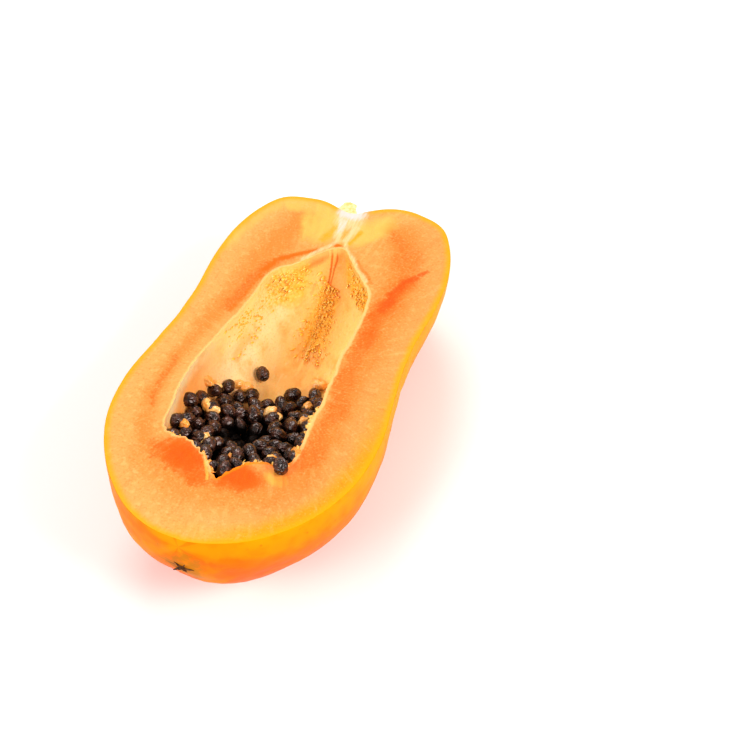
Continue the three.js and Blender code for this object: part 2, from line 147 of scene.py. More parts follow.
@dataclass
class FruitForm:
    """The whole fruit and its seed cavity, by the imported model's sizes."""

    middle: tuple[float, float, float] = (0.0, 0.0, -3.8)
    axis_dip_deg: float = 3.6
    lean_height: float = 2.4
    lean_at_deg: float = 10.0
    lean_width_deg: float = 9.0
    rib_count: int = 5
    rib_height: float = 0.9
    rib_phase_deg: float = 54.0
    rib_bands: tuple[tuple[float, float], ...] = ((0.42, 0.2), (2.5, 0.35))
    dent_x: float = -4.0
    dent_y: float = 108.0
    dent_depth: float = 5.5
    dent_radius: float = 9.5
    cavity_x: float = 0.0
    cavity_y: float = 15.0
    cavity_depth: float = 33.0
    bowl_edgeward: float = 2.6
    bowl_roundness: float = 2.2
    crease_x: float = -4.0
    crease_depth: float = 2.2
    crease_half_width: float = 2.0
    crease_start: float = 46.0
    crease_full: float = 62.0
    past_rim: float = 160.0
    halvings: int = 40
    slope_step: float = 0.3

    @cached_property
    def axis(self) -> np.ndarray:
        """Direction of the fruit's axis, towards the stem."""
        dip = math.radians(self.axis_dip_deg)
        return np.array([0, math.cos(dip), math.sin(dip)])

    @cached_property
    def profile(self) -> SmoothCurve:
        """Radius from the middle by the angle from the stem."""
        return SmoothCurve([(math.atan2(r, a), math.hypot(r, a)) for a, r in FRUIT_PROFILE])

    @cached_property
    def edge(self) -> SmoothCurve:
        """Distance of the cavity's edge from its middle by the bearing from the stem."""
        pairs = []
        for x, y in CAVITY_EDGE:
            across, along = x - self.cavity_x, y - self.cavity_y
            bearing = math.atan2(across, along) % (2 * math.pi)
            pairs += [(bearing + k * 2 * math.pi, math.hypot(across, along)) for k in (-1, 0, 1)]
        return SmoothCurve(pairs)

    def radius(self, way: np.ndarray) -> np.ndarray:
        """Distance from the middle to the skin.

        Args:
            way: Unit directions, one a row.

        Returns:
            One distance a direction.
        """
        from_stem = np.arccos(np.clip(way @ self.axis, -1, 1))
        sideways = way[..., 0] / np.maximum(np.sin(from_stem), 1e-6)
        over = np.array([0, -self.axis[2], self.axis[1]])
        turn = np.arctan2(way[..., 0], way @ over)
        lean = bump(from_stem, math.radians(self.lean_at_deg), math.radians(self.lean_width_deg))
        ribbed = sum(bump(from_stem, centre, width) for centre, width in self.rib_bands)
        dent = np.array([self.dent_x, self.dent_y, 0]) - self.middle
        from_dent = self.dent_y * np.arccos(np.clip(way @ (dent / np.linalg.norm(dent)), -1, 1))
        wave = np.cos(self.rib_count * (turn + math.radians(self.rib_phase_deg)))
        return (
            self.profile(from_stem)
            + self.lean_height * sideways * lean
            + self.rib_height * ribbed * wave
            - self.dent_depth * bump(from_dent, 0, self.dent_radius)
        )

    def skin(self, way: np.ndarray) -> np.ndarray:
        """Points of the skin in unit directions from the middle."""
        return self.radius(way)[..., None] * way + np.array(self.middle)

    def rim(self, bearings: np.ndarray) -> np.ndarray:
        """Points where level rays from the cavity's middle leave the fruit."""
        near, far = np.zeros(len(bearings)), np.full(len(bearings), self.past_rim)
        for _ in range(self.halvings):
            reach = (near + far) / 2
            point = self.level(bearings, reach)
            out = point - np.array(self.middle)
            length = np.linalg.norm(out, axis=-1)
            inside = length < self.radius(out / length[:, None])
            near, far = np.where(inside, reach, near), np.where(inside, far, reach)
        return point

    def level(self, bearings: np.ndarray, reach: np.ndarray) -> np.ndarray:
        """Points in the cut at a reach from the cavity's middle."""
        x = self.cavity_x + reach * np.sin(bearings)
        y = self.cavity_y + reach * np.cos(bearings)
        return np.stack([x, y, np.zeros_like(x)], -1)

    def floor(self, x: np.ndarray, y: np.ndarray, share: np.ndarray) -> np.ndarray:
        """Height of the lining, below 0, at a place in plan and its share of the way to the edge."""
        rest = np.maximum(1 - np.power(share, self.bowl_edgeward), 0)
        bowl = self.cavity_depth * np.power(rest, 1 / self.bowl_roundness)
        run = smoothstep(y, self.crease_start, self.crease_full)
        crease = self.crease_depth * bump(x, self.crease_x, self.crease_half_width) * run
        return -(bowl + np.minimum(1, 3 * (1 - share)) * crease)

    def share_at(self, depth: np.ndarray) -> np.ndarray:
        """Share of the way to the edge where the lining lies at a depth."""
        part = np.power(np.asarray(depth) / self.cavity_depth, self.bowl_roundness)
        return np.power(1 - part, 1 / self.bowl_edgeward)

    def lining(self, bearings: np.ndarray, share: np.ndarray) -> np.ndarray:
        """Points of the lining."""
        points = self.level(bearings, share * self.edge(bearings % (2 * math.pi)))
        points[..., 2] = self.floor(points[..., 0], points[..., 1], share)
        return points

    def underfoot(self, x: float, y: float) -> tuple[float, float]:
        """Share of the way to the cavity's edge, and the lining's height, at a place in plan."""
        across, along = x - self.cavity_x, y - self.cavity_y
        bearing = math.atan2(across, along) % (2 * math.pi)
        share = math.hypot(across, along) / float(self.edge(bearing))
        return share, float(self.floor(x, y, share)) if share < 1 else 0.0

    def lining_at(self, x: float, y: float, lift: float = 0.0) -> tuple[Vector, Vector]:
        """A place of the lining and the direction square to it.

        Args:
            x: Place to the right, in plan.
            y: Place towards the stem, in plan.
            lift: How far over the lining the place is.

        Returns:
            The place and the outward direction.
        """
        step = self.slope_step
        height = self.underfoot(x, y)[1]
        slope_x = (self.underfoot(x + step, y)[1] - self.underfoot(x - step, y)[1]) / (2 * step)
        slope_y = (self.underfoot(x, y + step)[1] - self.underfoot(x, y - step)[1]) / (2 * step)
        out = Vector((-slope_x, -slope_y, 1)).normalized()
        return Vector((x, y, height)) + lift * out, out


@dataclass
class Lying:
    """Where the half lies at rest: turned about X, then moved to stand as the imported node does."""

    form: FruitForm
    tilt_deg: float = -7.0

    @cached_property
    def turn(self) -> np.ndarray:
        """The turn as a 3 by 3 matrix."""
        return np.array(Euler((math.radians(self.tilt_deg), 0, 0)).to_matrix())

    @cached_property
    def shift(self) -> np.ndarray:
        """The move after the turn, in millimetres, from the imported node's box and the rim's."""
        low, high = (np.array(corner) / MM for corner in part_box("fruit_half"))
        rim = self.form.rim(np.linspace(0, 2 * math.pi, 720, endpoint=False)) @ self.turn.T
        x_middle = (low[0] + high[0] - rim[:, 0].min() - rim[:, 0].max()) / 2
        return np.array([x_middle, high[1] - rim[:, 1].max(), high[2] - rim[:, 2].max()])

    def to_row(self, points: np.ndarray) -> np.ndarray:
        """Points of the cut's frame, in millimetres, as points of the model's frame, in metres."""
        return (points @ self.turn.T + self.shift) * MM

    def from_row(self, points: np.ndarray) -> np.ndarray:
        """Points of the model's frame, in metres, as points of the cut's frame, in millimetres."""
        return (points / MM - self.shift) @ self.turn

    @cached_property
    def matrix(self) -> Matrix:
        """The same as one matrix, which also turns millimetres into metres."""
        moved = Matrix.Translation(Vector(self.shift * MM))
        return moved @ Matrix(self.turn.tolist()).to_4x4() @ Matrix.Scale(MM, 4)


# Shaders


def operator(operation: str, swapped: bool = False) -> Callable[["Wire", object], "Wire"]:
    """An operator of wires.

    Args:
        operation: What the Math node does.
        swapped: Whether the other value comes first.

    Returns:
        The operator as a method.
    """

    def apply(wire: "Wire", other: object) -> "Wire":
        """The Math node's result."""
        return wire.maths(operation, other, wire) if swapped else wire.maths(operation, wire, other)

    return apply


class Wire:
    """A shader socket that can be used in sums."""

    def __init__(self, graph: "Graph", socket: bpy.types.NodeSocket) -> None:
        """Wraps an output socket of a graph."""
        self.graph, self.socket = graph, socket

    def maths(self, operation: str, *values: object) -> "Wire":
        """A Math node on these values."""
        made = self.graph.node("ShaderNodeMath", {"operation": operation}, dict(enumerate(values)))
        return self.graph.out(made)

    __add__, __radd__ = operator("ADD"), operator("ADD", True)
    __sub__, __rsub__ = operator("SUBTRACT"), operator("SUBTRACT", True)
    __mul__, __rmul__ = operator("MULTIPLY"), operator("MULTIPLY", True)
    __truediv__, __pow__ = operator("DIVIDE"), operator("POWER")
    least, most = operator("MINIMUM"), operator("MAXIMUM")

    def __abs__(self) -> "Wire":
        """The size of self."""
        return self.maths("ABSOLUTE", self)

    def rise(self, low: float, high: float) -> "Wire":
        """A smooth rise from 0 where self is low to 1 where it is high; low may be the larger."""
        settings = {"interpolation_type": "SMOOTHSTEP"}
        values = {"Value": self, "From Min": min(low, high), "From Max": max(low, high)}
        rising = self.graph.out(self.graph.node("ShaderNodeMapRange", settings, values))
        return rising if low < high else 1 - rising


class Graph:
    """The nodes of one material."""

    def __init__(self, name: str) -> None:
        """Starts an empty material of that name."""
        self.material = bpy.data.materials.new(name)
        self.material.use_nodes = True
        self.tree = self.material.node_tree
        self.tree.nodes.clear()

    def node(self, kind: str, settings: dict | None = None, values: dict | None = None) -> bpy.types.Node:
        """Adds a node.

        Args:
            kind: The node's type.
            settings: Properties to set first; "stops" holds a ramp's (place, colour) pairs.
            values: Input sockets by name or number, each given a plain value or a wire.

        Returns:
            The node.
        """
        made = self.tree.nodes.new(kind)
        for name, value in (settings or {}).items():
            if name == "stops":
                self._set_stops(made.color_ramp, value)
            else:
                setattr(made, name, value)
        for key, value in (values or {}).items():
            if isinstance(value, Wire):
                self.tree.links.new(value.socket, made.inputs[key])
            else:
                made.inputs[key].default_value = value
        return made

    @staticmethod
    def _set_stops(ramp: bpy.types.ColorRamp, stops: list[tuple[float, Colour]]) -> None:
        """Gives a ramp these stops."""
        while len(ramp.elements) < len(stops):
            ramp.elements.new(0.5)
        for element, (place, colour) in zip(ramp.elements, stops):
            element.position, element.color = place, colour

    def out(self, node: bpy.types.Node, key: int | str = 0) -> Wire:
        """One output of a node."""
        return Wire(self, node.outputs[key])

    def attribute(self, name: str, key: str = "Fac") -> Wire:
        """An attribute of the piece's own mesh."""
        return self.out(self.node("ShaderNodeAttribute", {"attribute_name": name}), key)

    def parts(self, vector: Wire) -> tuple[Wire, Wire, Wire]:
        """The three numbers of a vector."""
        split = self.node("ShaderNodeSeparateXYZ", values={0: vector})
        return self.out(split, 0), self.out(split, 1), self.out(split, 2)

    def stretched(self, vector: Wire, scale: tuple[float, float, float]) -> Wire:
        """A vector scaled along its three directions."""
        return self.out(self.node("ShaderNodeMapping", values={"Vector": vector, "Scale": scale}))

    def noise(self, vector: Wire, scale: float, detail: float = 2.0, warp: float = 0.0) -> Wire:
        """Noise from 0 to 1 with scale features a unit."""
        values = {"Vector": vector, "Scale": scale, "Detail": detail, "Distortion": warp}
        return self.out(self.node("ShaderNodeTexNoise", values=values))

    def cells(self, vector: Wire, scale: float) -> Wire:
        """Distance to the nearest of points strewn with scale points a unit."""
        return self.out(self.node("ShaderNodeTexVoronoi", values={"Vector": vector, "Scale": scale}))

    def mix(self, share: object, first: object, second: object) -> Wire:
        """Two colours mixed."""
        values = {0: share, 6: first, 7: second}
        return self.out(self.node("ShaderNodeMix", {"data_type": "RGBA"}, values), 2)

    def raised(self, height: Wire, distance: float, strength: float = 1.0, below: Wire | None = None) -> Wire:
        """A normal bent by a height pattern.

        Args:
            height: The pattern, from 0 to 1.
            distance: How far 1 stands over 0, in metres.
            strength: Share of the effect that is used.
            below: A normal that this one is laid over.

        Returns:
            The normal.
        """
        values = {"Height": height, "Distance": distance, "Strength": strength}
        if below is not None:
            values["Normal"] = below
        return self.out(self.node("ShaderNodeBump", values=values))

    def finish(self, **values: object) -> bpy.types.Material:
        """Ends the material in one Principled shader with these inputs, where _ stands for a space."""
        named = {name.replace("_", " "): value for name, value in values.items()}
        shader = self.out(self.node("ShaderNodeBsdfPrincipled", values=named))
        self.node("ShaderNodeOutputMaterial", values={"Surface": shader})
        return self.material


class Mark(Enum):
    """Attributes that the pieces carry for their patterns."""

    CUT = "cut_mm"
    AROUND = "around_mm"
    EDGE = "edge_mm"
    RIM = "rim_mm"
    BAND = "band_share"
    # Share of painted shade on the seeds that lie deeper in the heap.
    PAINTED_SHADE = "painted_shade_share"
    TIP = "tip_share"


@dataclass(frozen=True)
class Patch:
    """A soft-edged stain on the cut face, in millimetres in the cut's frame."""

    x: float
    y: float
    reach_x: float
    reach_y: float
    turn_deg: float = 0.0
    strength: float = 1.0

    def mask(self, across: Wire, along: Wire) -> Wire:
        """How strongly the stain covers a place."""
        c, s = math.cos(math.radians(self.turn_deg)), math.sin(math.radians(self.turn_deg))
        dx, dy = across - self.x, along - self.y
        u = (dx * c + dy * s) / self.reach_x
        v = (dy * c - dx * s) / self.reach_y
        return (u * u + v * v).rise(1.5, 0.1) * self.strength


@dataclass(frozen=True)
class Stroke:
    """A soft-edged line on the cut face, from one place to another."""

    start: tuple[float, float]
    end: tuple[float, float]
    width: float
    strength: float = 1.0

    def mask(self, across: Wire, along: Wire) -> Wire:
        """How strongly the line covers a place."""
        run_x, run_y = self.end[0] - self.start[0], self.end[1] - self.start[1]
        length = run_x * run_x + run_y * run_y
        dx, dy = across - self.start[0], along - self.start[1]
        share = ((dx * run_x + dy * run_y) / length).most(0.0).least(1.0)
        u, v = dx - share * run_x, dy - share * run_y
        return ((u * u + v * v) ** 0.5).rise(self.width, self.width * 0.15) * self.strength


Stains = tuple[Patch | Stroke, ...]


def chain(points: list[tuple[float, float]], width: float, strength: float = 1.0) -> Stains:
    """Strokes from each place to the next."""
    return tuple(Stroke(a, b, width, strength) for a, b in zip(points, points[1:]))


def greatest(stains: Stains, place: tuple[Wire, Wire]) -> Wire:
    """How strongly the strongest of several stains covers a place."""
    total = stains[0].mask(*place)
    for stain in stains[1:]:
        total = total.most(stain.mask(*place))
    return total


@dataclass(frozen=True)
class FleshFinish:
    """The cut flesh: pale outside, orange inside, with faint fibres from the cavity to the rim."""

    rind: Colour = seen(253, 184, 8)
    outer: Colour = seen(253, 182, 102)
    sunny: Colour = seen(253, 182, 8)
    inner: Colour = seen(252, 154, 68)
    deep: Colour = seen(252, 112, 16)
    red: Colour = seen(252, 94, 10)
    streak: Colour = seen(252, 122, 10)
    membrane: Colour = seen(253, 216, 138)
    fringe: Colour = seen(252, 156, 22)
    pale: Colour = seen(253, 212, 96)
    lemon: Colour = seen(253, 212, 106)
    gold: Colour = seen(252, 182, 40)
    pith: Colour = seen(252, 228, 168)
    torn: Colour = seen(250, 236, 228)
    deep_stains: Stains = (
        Patch(-14.5, -37, 12.5, 9, -14),
        Patch(-7, -44, 8, 5, -30, 0.8),
        Patch(8.5, -40.5, 10.5, 7.5, 12),
        Patch(29, -22, 6, 9, -10, 0.45),
        Patch(30, 2, 5, 9, 0, 0.4),
        *chain([(31, 76), (28.5, 64), (27, 50), (26.5, 38)], 6, 0.7),
        *chain([(26.5, 38), (27, 20), (29, 0), (29, -24)], 5, 0.4),
        Patch(13, 102, 3, 3.5, 0, 0.6),
        *chain([(14, 101), (21, 97), (26, 89)], 3, 0.4),
        Patch(27, 88, 7, 10, 20, 0.25),
        *chain([(-18, 74), (-23.5, 67), (-27, 56), (-30, 40)], 3.6, 0.5),
        *chain([(-37, 8), (-37.5, -6), (-36, -18)], 1.6, 0.45),
    )
    red_stains: Stains = (
        *chain([(36.6, 84), (33.5, 79.5)], 1.6, 0.7),
        *chain([(33.5, 79.5), (30.5, 75)], 2.4, 0.75),
        *chain([(30.5, 75), (28.8, 67), (27.6, 58)], 3.2, 0.6),
        Patch(-12.5, -37.5, 8, 5.5, -20, 0.3),
        Patch(8.5, -40, 6.5, 4, 12, 0.3),
    )
    streak_stains: Stains = (
        *chain([(-9, 81), (-14.8, 77), (-21.6, 70.4), (-24.4, 63)], 2.0, 0.95),
        *chain([(-24.4, 63), (-25.8, 50), (-28, 38)], 1.6, 0.6),
        *chain([(8.4, 80.6), (13, 76), (18, 70.6)], 1.3, 0.5),
        Patch(-2.6, 86.7, 3.2, 1.1, 0, 0.9),
    )
    band_stains: Stains = (
        *chain([(-20, 96), (-25, 82), (-28, 64)], 10.5, 0.95),
        *chain([(-28, 64), (-30.5, 45), (-33.5, 27)], 8.5, 0.95),
        *chain([(-33.5, 27), (-36.5, 8), (-37.5, -12), (-34, -28), (-26, -41)], 6, 0.8),
        *chain([(-26, -41), (-12, -49), (6, -50), (20, -45), (30, -32)], 12, 0.75),
        *chain([(20, 100), (25, 88), (29, 72), (29, 52), (29, 30)], 12, 0.85),
        *chain([(29, 30), (30.5, 8), (31, -16), (30, -32)], 8.5, 0.85),
    )
    pale_stains: Stains = (
        *chain([(-5.6, -37), (-3.2, -41.6), (-1.6, -45)], 0.8, 0.55),
        Patch(21.5, -36, 5, 3.4, -30, 0.5),
    )
    lemon_stains: Stains = (
        Patch(-13.5, 98, 8.5, 13.5, 8, 0.75),
        Patch(7.6, 98, 6.4, 12, -32, 0.75),
        Patch(-30, 105.5, 16, 5.5, -8, 0.6),
        *chain([(-44.5, 72), (-41.5, 88), (-33, 102)], 5, 0.5),
    )
    gold_stains: Stains = (
        Stroke((-6.8, 96), (-9, 88), 2.4, 0.7),
        Stroke((3.2, 97), (1.8, 89), 2.2, 0.8),
        Patch(-2.2, 93, 1.5, 5, 0, 0.4),
    )
    pith_stains: Stains = (
        Patch(-3.0, 103, 6.5, 7, 0, 0.8),
        *chain([(-6, 103), (-5, 94), (-3.4, 89.4)], 2.6, 0.8),
        *chain([(-3.4, 89), (-5.8, 84.4), (-8.8, 79.8), (-12.6, 74.4)], 1.7, 0.7),
        *chain([(1.5, 99), (-0.4, 90.5)], 2.6, 0.8),
        *chain([(-0.4, 90.5), (2.2, 86), (5.6, 82), (10, 76.6), (15.4, 70.8)], 1.4, 0.65),
    )
    torn_stains: Stains = (
        Patch(-3.4, 106.5, 6.2, 4.4, 0, 0.95),
        Patch(-5, 99, 1.6, 6, 0, 0.5),
    )

    def make(self) -> bpy.types.Material:
        """Builds the material."""
        g = Graph("cut_flesh")
        cut = g.attribute(Mark.CUT.value, "Vector")
        around = g.attribute(Mark.AROUND.value, "Vector")
        edge, rim = g.attribute(Mark.EDGE.value), g.attribute(Mark.RIM.value)
        x, y, _ = g.parts(cut)
        drift = g.noise(cut, 0.09, 3.0) - 0.5
        fibres = g.noise(g.stretched(around, (0.9, 0.9, 0.1)), 1.0, 3.0, 0.4) - 0.5
        broad = g.noise(g.stretched(around, (0.3, 0.3, 0.05)), 1.0, 2.0) - 0.5
        grain = g.noise(cut, 1.1, 5.0) - 0.5
        fine = g.noise(cut, 2.6, 3.0) - 0.5
        mottle = g.noise(cut, 0.38, 4.0) - 0.5
        strands = g.noise(g.stretched(cut, (1.1, 0.16, 1.1)), 1.0, 3.0, 0.3) - 0.5
        wobble = drift * 7 + broad * 4 + grain * 3
        wander = x + drift * 8 + fibres * 3 + mottle * 3, y + broad * 7 + mottle * 4
        near = x + drift * 3 + fine * 1.2, y + broad * 2.5 + fine * 1.2
        rag = grain * 2.2 + fibres * 2.4 + mottle * 1.6
        colour = g.mix((rim + wobble).rise(4, 17) * 0.35, self.outer, self.inner)
        colour = g.mix(mottle.rise(-0.02, -0.2) * 0.35, colour, self.membrane)
        colour = self._stain(g, colour, self.inner, self.band_stains, wander, rag)
        right = x.rise(12, 44) * y.rise(30, -25)
        low = x.rise(-20, 30) * y.rise(-40, -62) * 0.75
        sunlit = ((rim + wobble * 0.6).rise(11, 1.5) * (right + low)).least(0.9)
        colour = g.mix(sunlit, colour, self.sunny)
        colour = g.mix(x.rise(10, 34) * 0.2, colour, self.deep)
        beside = (edge + wobble * 0.5).rise(7, 1.5) * y.rise(46, 26) * y.rise(-26, -16) * x.rise(4, -4)
        colour = g.mix(beside * 0.85, colour, self.outer)
        colour = g.mix(fibres.rise(0.03, 0.2) * 0.2, colour, self.membrane)
        colour = g.mix(fibres.rise(-0.06, -0.22) * 0.16, colour, self.deep)
        colour = g.mix(grain.rise(0.04, 0.2) * 0.3, colour, self.deep)
        colour = g.mix(grain.rise(-0.05, -0.2) * 0.3, colour, self.membrane)
        colour = self._stain(g, colour, self.deep, self.deep_stains, wander, rag)
        colour = self._stain(g, colour, self.red, self.red_stains, near, rag)
        colour = self._stain(g, colour, self.lemon, self.lemon_stains, wander, rag * 0.6)
        colour = self._stain(g, colour, self.streak, self.streak_stains, near, rag)
        colour = g.mix(fine.rise(0.05, 0.22) * 0.1, colour, self.membrane)
        colour = self._stain(g, colour, self.pale, self.pale_stains, near, rag)
        colour = self._stain(g, colour, self.gold, self.gold_stains, near, rag)
        colour = self._stain(g, colour, self.pith, self.pith_stains, near, strands * 4)
        colour = self._stain(g, colour, self.torn, self.torn_stains, near, strands * 4)
        lobes = y.rise(-24, -30)
        strand = x.rise(7, 13) * y.rise(72, 64) * (0.5 + mottle * 1.6 + fine * 2)
        at_edge = (edge - strand + fine * 1.6 + drift * 1.2).rise(1.1, 0.3)
        colour = g.mix(at_edge * (1 - lobes) * 0.85, colour, self.membrane)
        torn_edge = (edge + fine * 1.4 + mottle * 2.4).rise(1.5, 0.3) * lobes * 0.85
        colour = g.mix(torn_edge, colour, g.mix(x.rise(-4, 2), self.membrane, self.fringe))
        beside_pith = abs(x + 3).rise(5, 8).most(y.rise(96, 90))
        colour = g.mix((rim + fibres * 1.2).rise(3.4, 0.5) * beside_pith * 0.85, colour, self.rind)
        normal = g.raised(fibres * 0.4 + grain * 0.6 + 0.5, 0.0006, 0.4)
        wet = g.noise(cut, 0.35, 3.0)
        return g.finish(
            Base_Color=colour,
            Roughness=0.38 + wet * 0.28,
            Normal=normal,
            Subsurface_Weight=0.12,
            Subsurface_Radius=(1.0, 0.4, 0.12),
            Subsurface_Scale=0.0015,
            Specular_IOR_Level=0.1,
        )

    @staticmethod
    def _stain(
        g: Graph,
        colour: Wire,
        stain: Colour,
        patches: Stains,
        place: tuple[Wire, Wire],
        rag: Wire,
    ) -> Wire:
        """Lays stains of one colour over another colour.

        Args:
            g: The material's nodes.
            colour: What lies below.
            stain: The stains' colour.
            patches: Where they are.
            place: The place across and along, drifting a little.
            rag: A pattern about 0 that roughens the stains where they fade.

        Returns:
            The colour with the stains.
        """
        total = greatest(patches, place)
        ragged = (total + total * (1 - total) * rag * 1.6).most(0.0).least(1.0)
        return g.mix(ragged, colour, stain)


@dataclass(frozen=True)
class LiningFinish:
    """The cavity's lining: peach and moist, with bumpy golden bands that carry painted highlights on their
    bumps and painted shade between them, thin crease lines at the tip, and a line of painted shade under the
    edge beside them.
    """

    pale: Colour = srgb(255, 220, 166)
    peach: Colour = srgb(255, 194, 110)
    warm: Colour = srgb(255, 158, 64)
    gold: Colour = srgb(255, 206, 84)
    # Orange laid between the bumps of the bands, as painted shade.
    gap: Colour = srgb(254, 176, 60)
    # Crease colour, also used for the painted shade line under the upper-left edge.
    crease: Colour = srgb(222, 106, 30)
    membrane: Colour = srgb(255, 216, 136)
    wall: Colour = srgb(255, 222, 142)
    creases_and_edge_shade: tuple[Stains, ...] = (
        chain([(-3.2, 84.2), (-3.6, 80.9), (-3.3, 76), (-3.1, 72)], 0.55, 0.85),
        chain([(-1.3, 84.8), (-2.4, 82.5), (-2.9, 77.5)], 0.5, 0.75),
        # Painted shade, not a crease: a thin line just under the cavity's upper-left edge, where the cut's
        # lip shades the lining.
        chain([(-4.6, 82.8), (-8.5, 77.8), (-12.3, 72.4)], 0.45, 0.6),
        chain([(-7.4, 75.6), (-8.4, 72)], 0.6, 0.25),
    )

    def make(self) -> bpy.types.Material:
        """Builds the material."""
        g = Graph("cavity_lining")
        cut = g.attribute(Mark.CUT.value, "Vector")
        band = g.attribute(Mark.BAND.value)
        x, y, z = g.parts(cut)
        drift = g.noise(cut, 0.11, 3.0) - 0.5
        grain = g.noise(cut, 1.3, 3.0) - 0.5
        streaks = g.noise(g.stretched(cut, (0.9, 0.14, 0.9)), 1.0, 3.0) - 0.5
        bumps = g.cells(cut, 0.8)
        across = (x + drift * 14).rise(-24, -8) * 0.9
        colour = g.mix(across, self.pale, self.peach)
        colour = g.mix((x + drift * 8).rise(4, 16) * 0.8, colour, self.wall)
        colour = g.mix(drift.rise(0.0, 0.2) * 0.5, colour, self.warm)
        colour = g.mix(streaks.rise(0.02, 0.22) * 0.3, colour, self.pale)
        colour = g.mix(grain.rise(0.04, 0.2) * 0.3, colour, self.warm)
        near_x, near_y = x + drift * 1.2 + grain * 0.4, y + drift * 2
        # Crease lines at the tip, and the painted shade line under the upper-left edge, all in the crease
        # colour.
        for line in self.creases_and_edge_shade:
            colour = g.mix(greatest(line, (near_x, near_y)), colour, self.crease)
        centre_line = abs(x + 3 + drift * 2).rise(0.9, 0.2) * y.rise(67, 62) * y.rise(40, 46)
        colour = g.mix(centre_line * 0.7, colour, self.membrane)
        bumpy = (band + drift * 0.8 + streaks * 0.7).rise(0.2, 0.8)
        colour = g.mix(bumpy * x.rise(-22, -10).most(y.rise(52, 66)) * 0.6, colour, self.gold)
        # Painted shade deepens the lining to orange between the bumps, and a painted highlight pales the
        # bumps' tops.
        colour = g.mix(bumpy * bumps.rise(0.42, 0.8) * 0.8, colour, self.gap)
        colour = g.mix(bumpy * bumps.rise(0.3, 0.05) * 0.6, colour, self.membrane)
        wall = (z + drift * 6).rise(-18, -6) * x.rise(-10, -20) * y.rise(68, 44) * y.rise(8, 26)
        colour = g.mix(wall * 0.8, colour, self.wall)
        upper = (z + grain * 1.6 + drift * 3).rise(-4.0, -0.6) * (y.rise(-4, 26) * 0.7 + x.rise(0, 12) * 0.3)
        colour = g.mix(upper * 0.8, colour, self.membrane)
        deep_down = y.rise(30, 4) * z.rise(-1, -8)
        colour = g.mix(deep_down * 0.8, colour, self.warm)
        normal = g.raised(streaks * 0.5 + grain * 0.5 + 0.5, 0.0009, 0.45)
        normal = g.raised((1 - bumps) * bumpy, 0.0003, 0.3, normal)
        return g.finish(
            Base_Color=colour,
            Roughness=0.4 + drift * 0.3 - bumpy * 0.14,
            Normal=normal,
            Subsurface_Weight=0.15,
            Subsurface_Radius=(1.0, 0.5, 0.15),
            Subsurface_Scale=0.0015,
            Specular_IOR_Level=0.12,
            Coat_Weight=bumpy * 0.2,
            Coat_Roughness=0.2,
        )


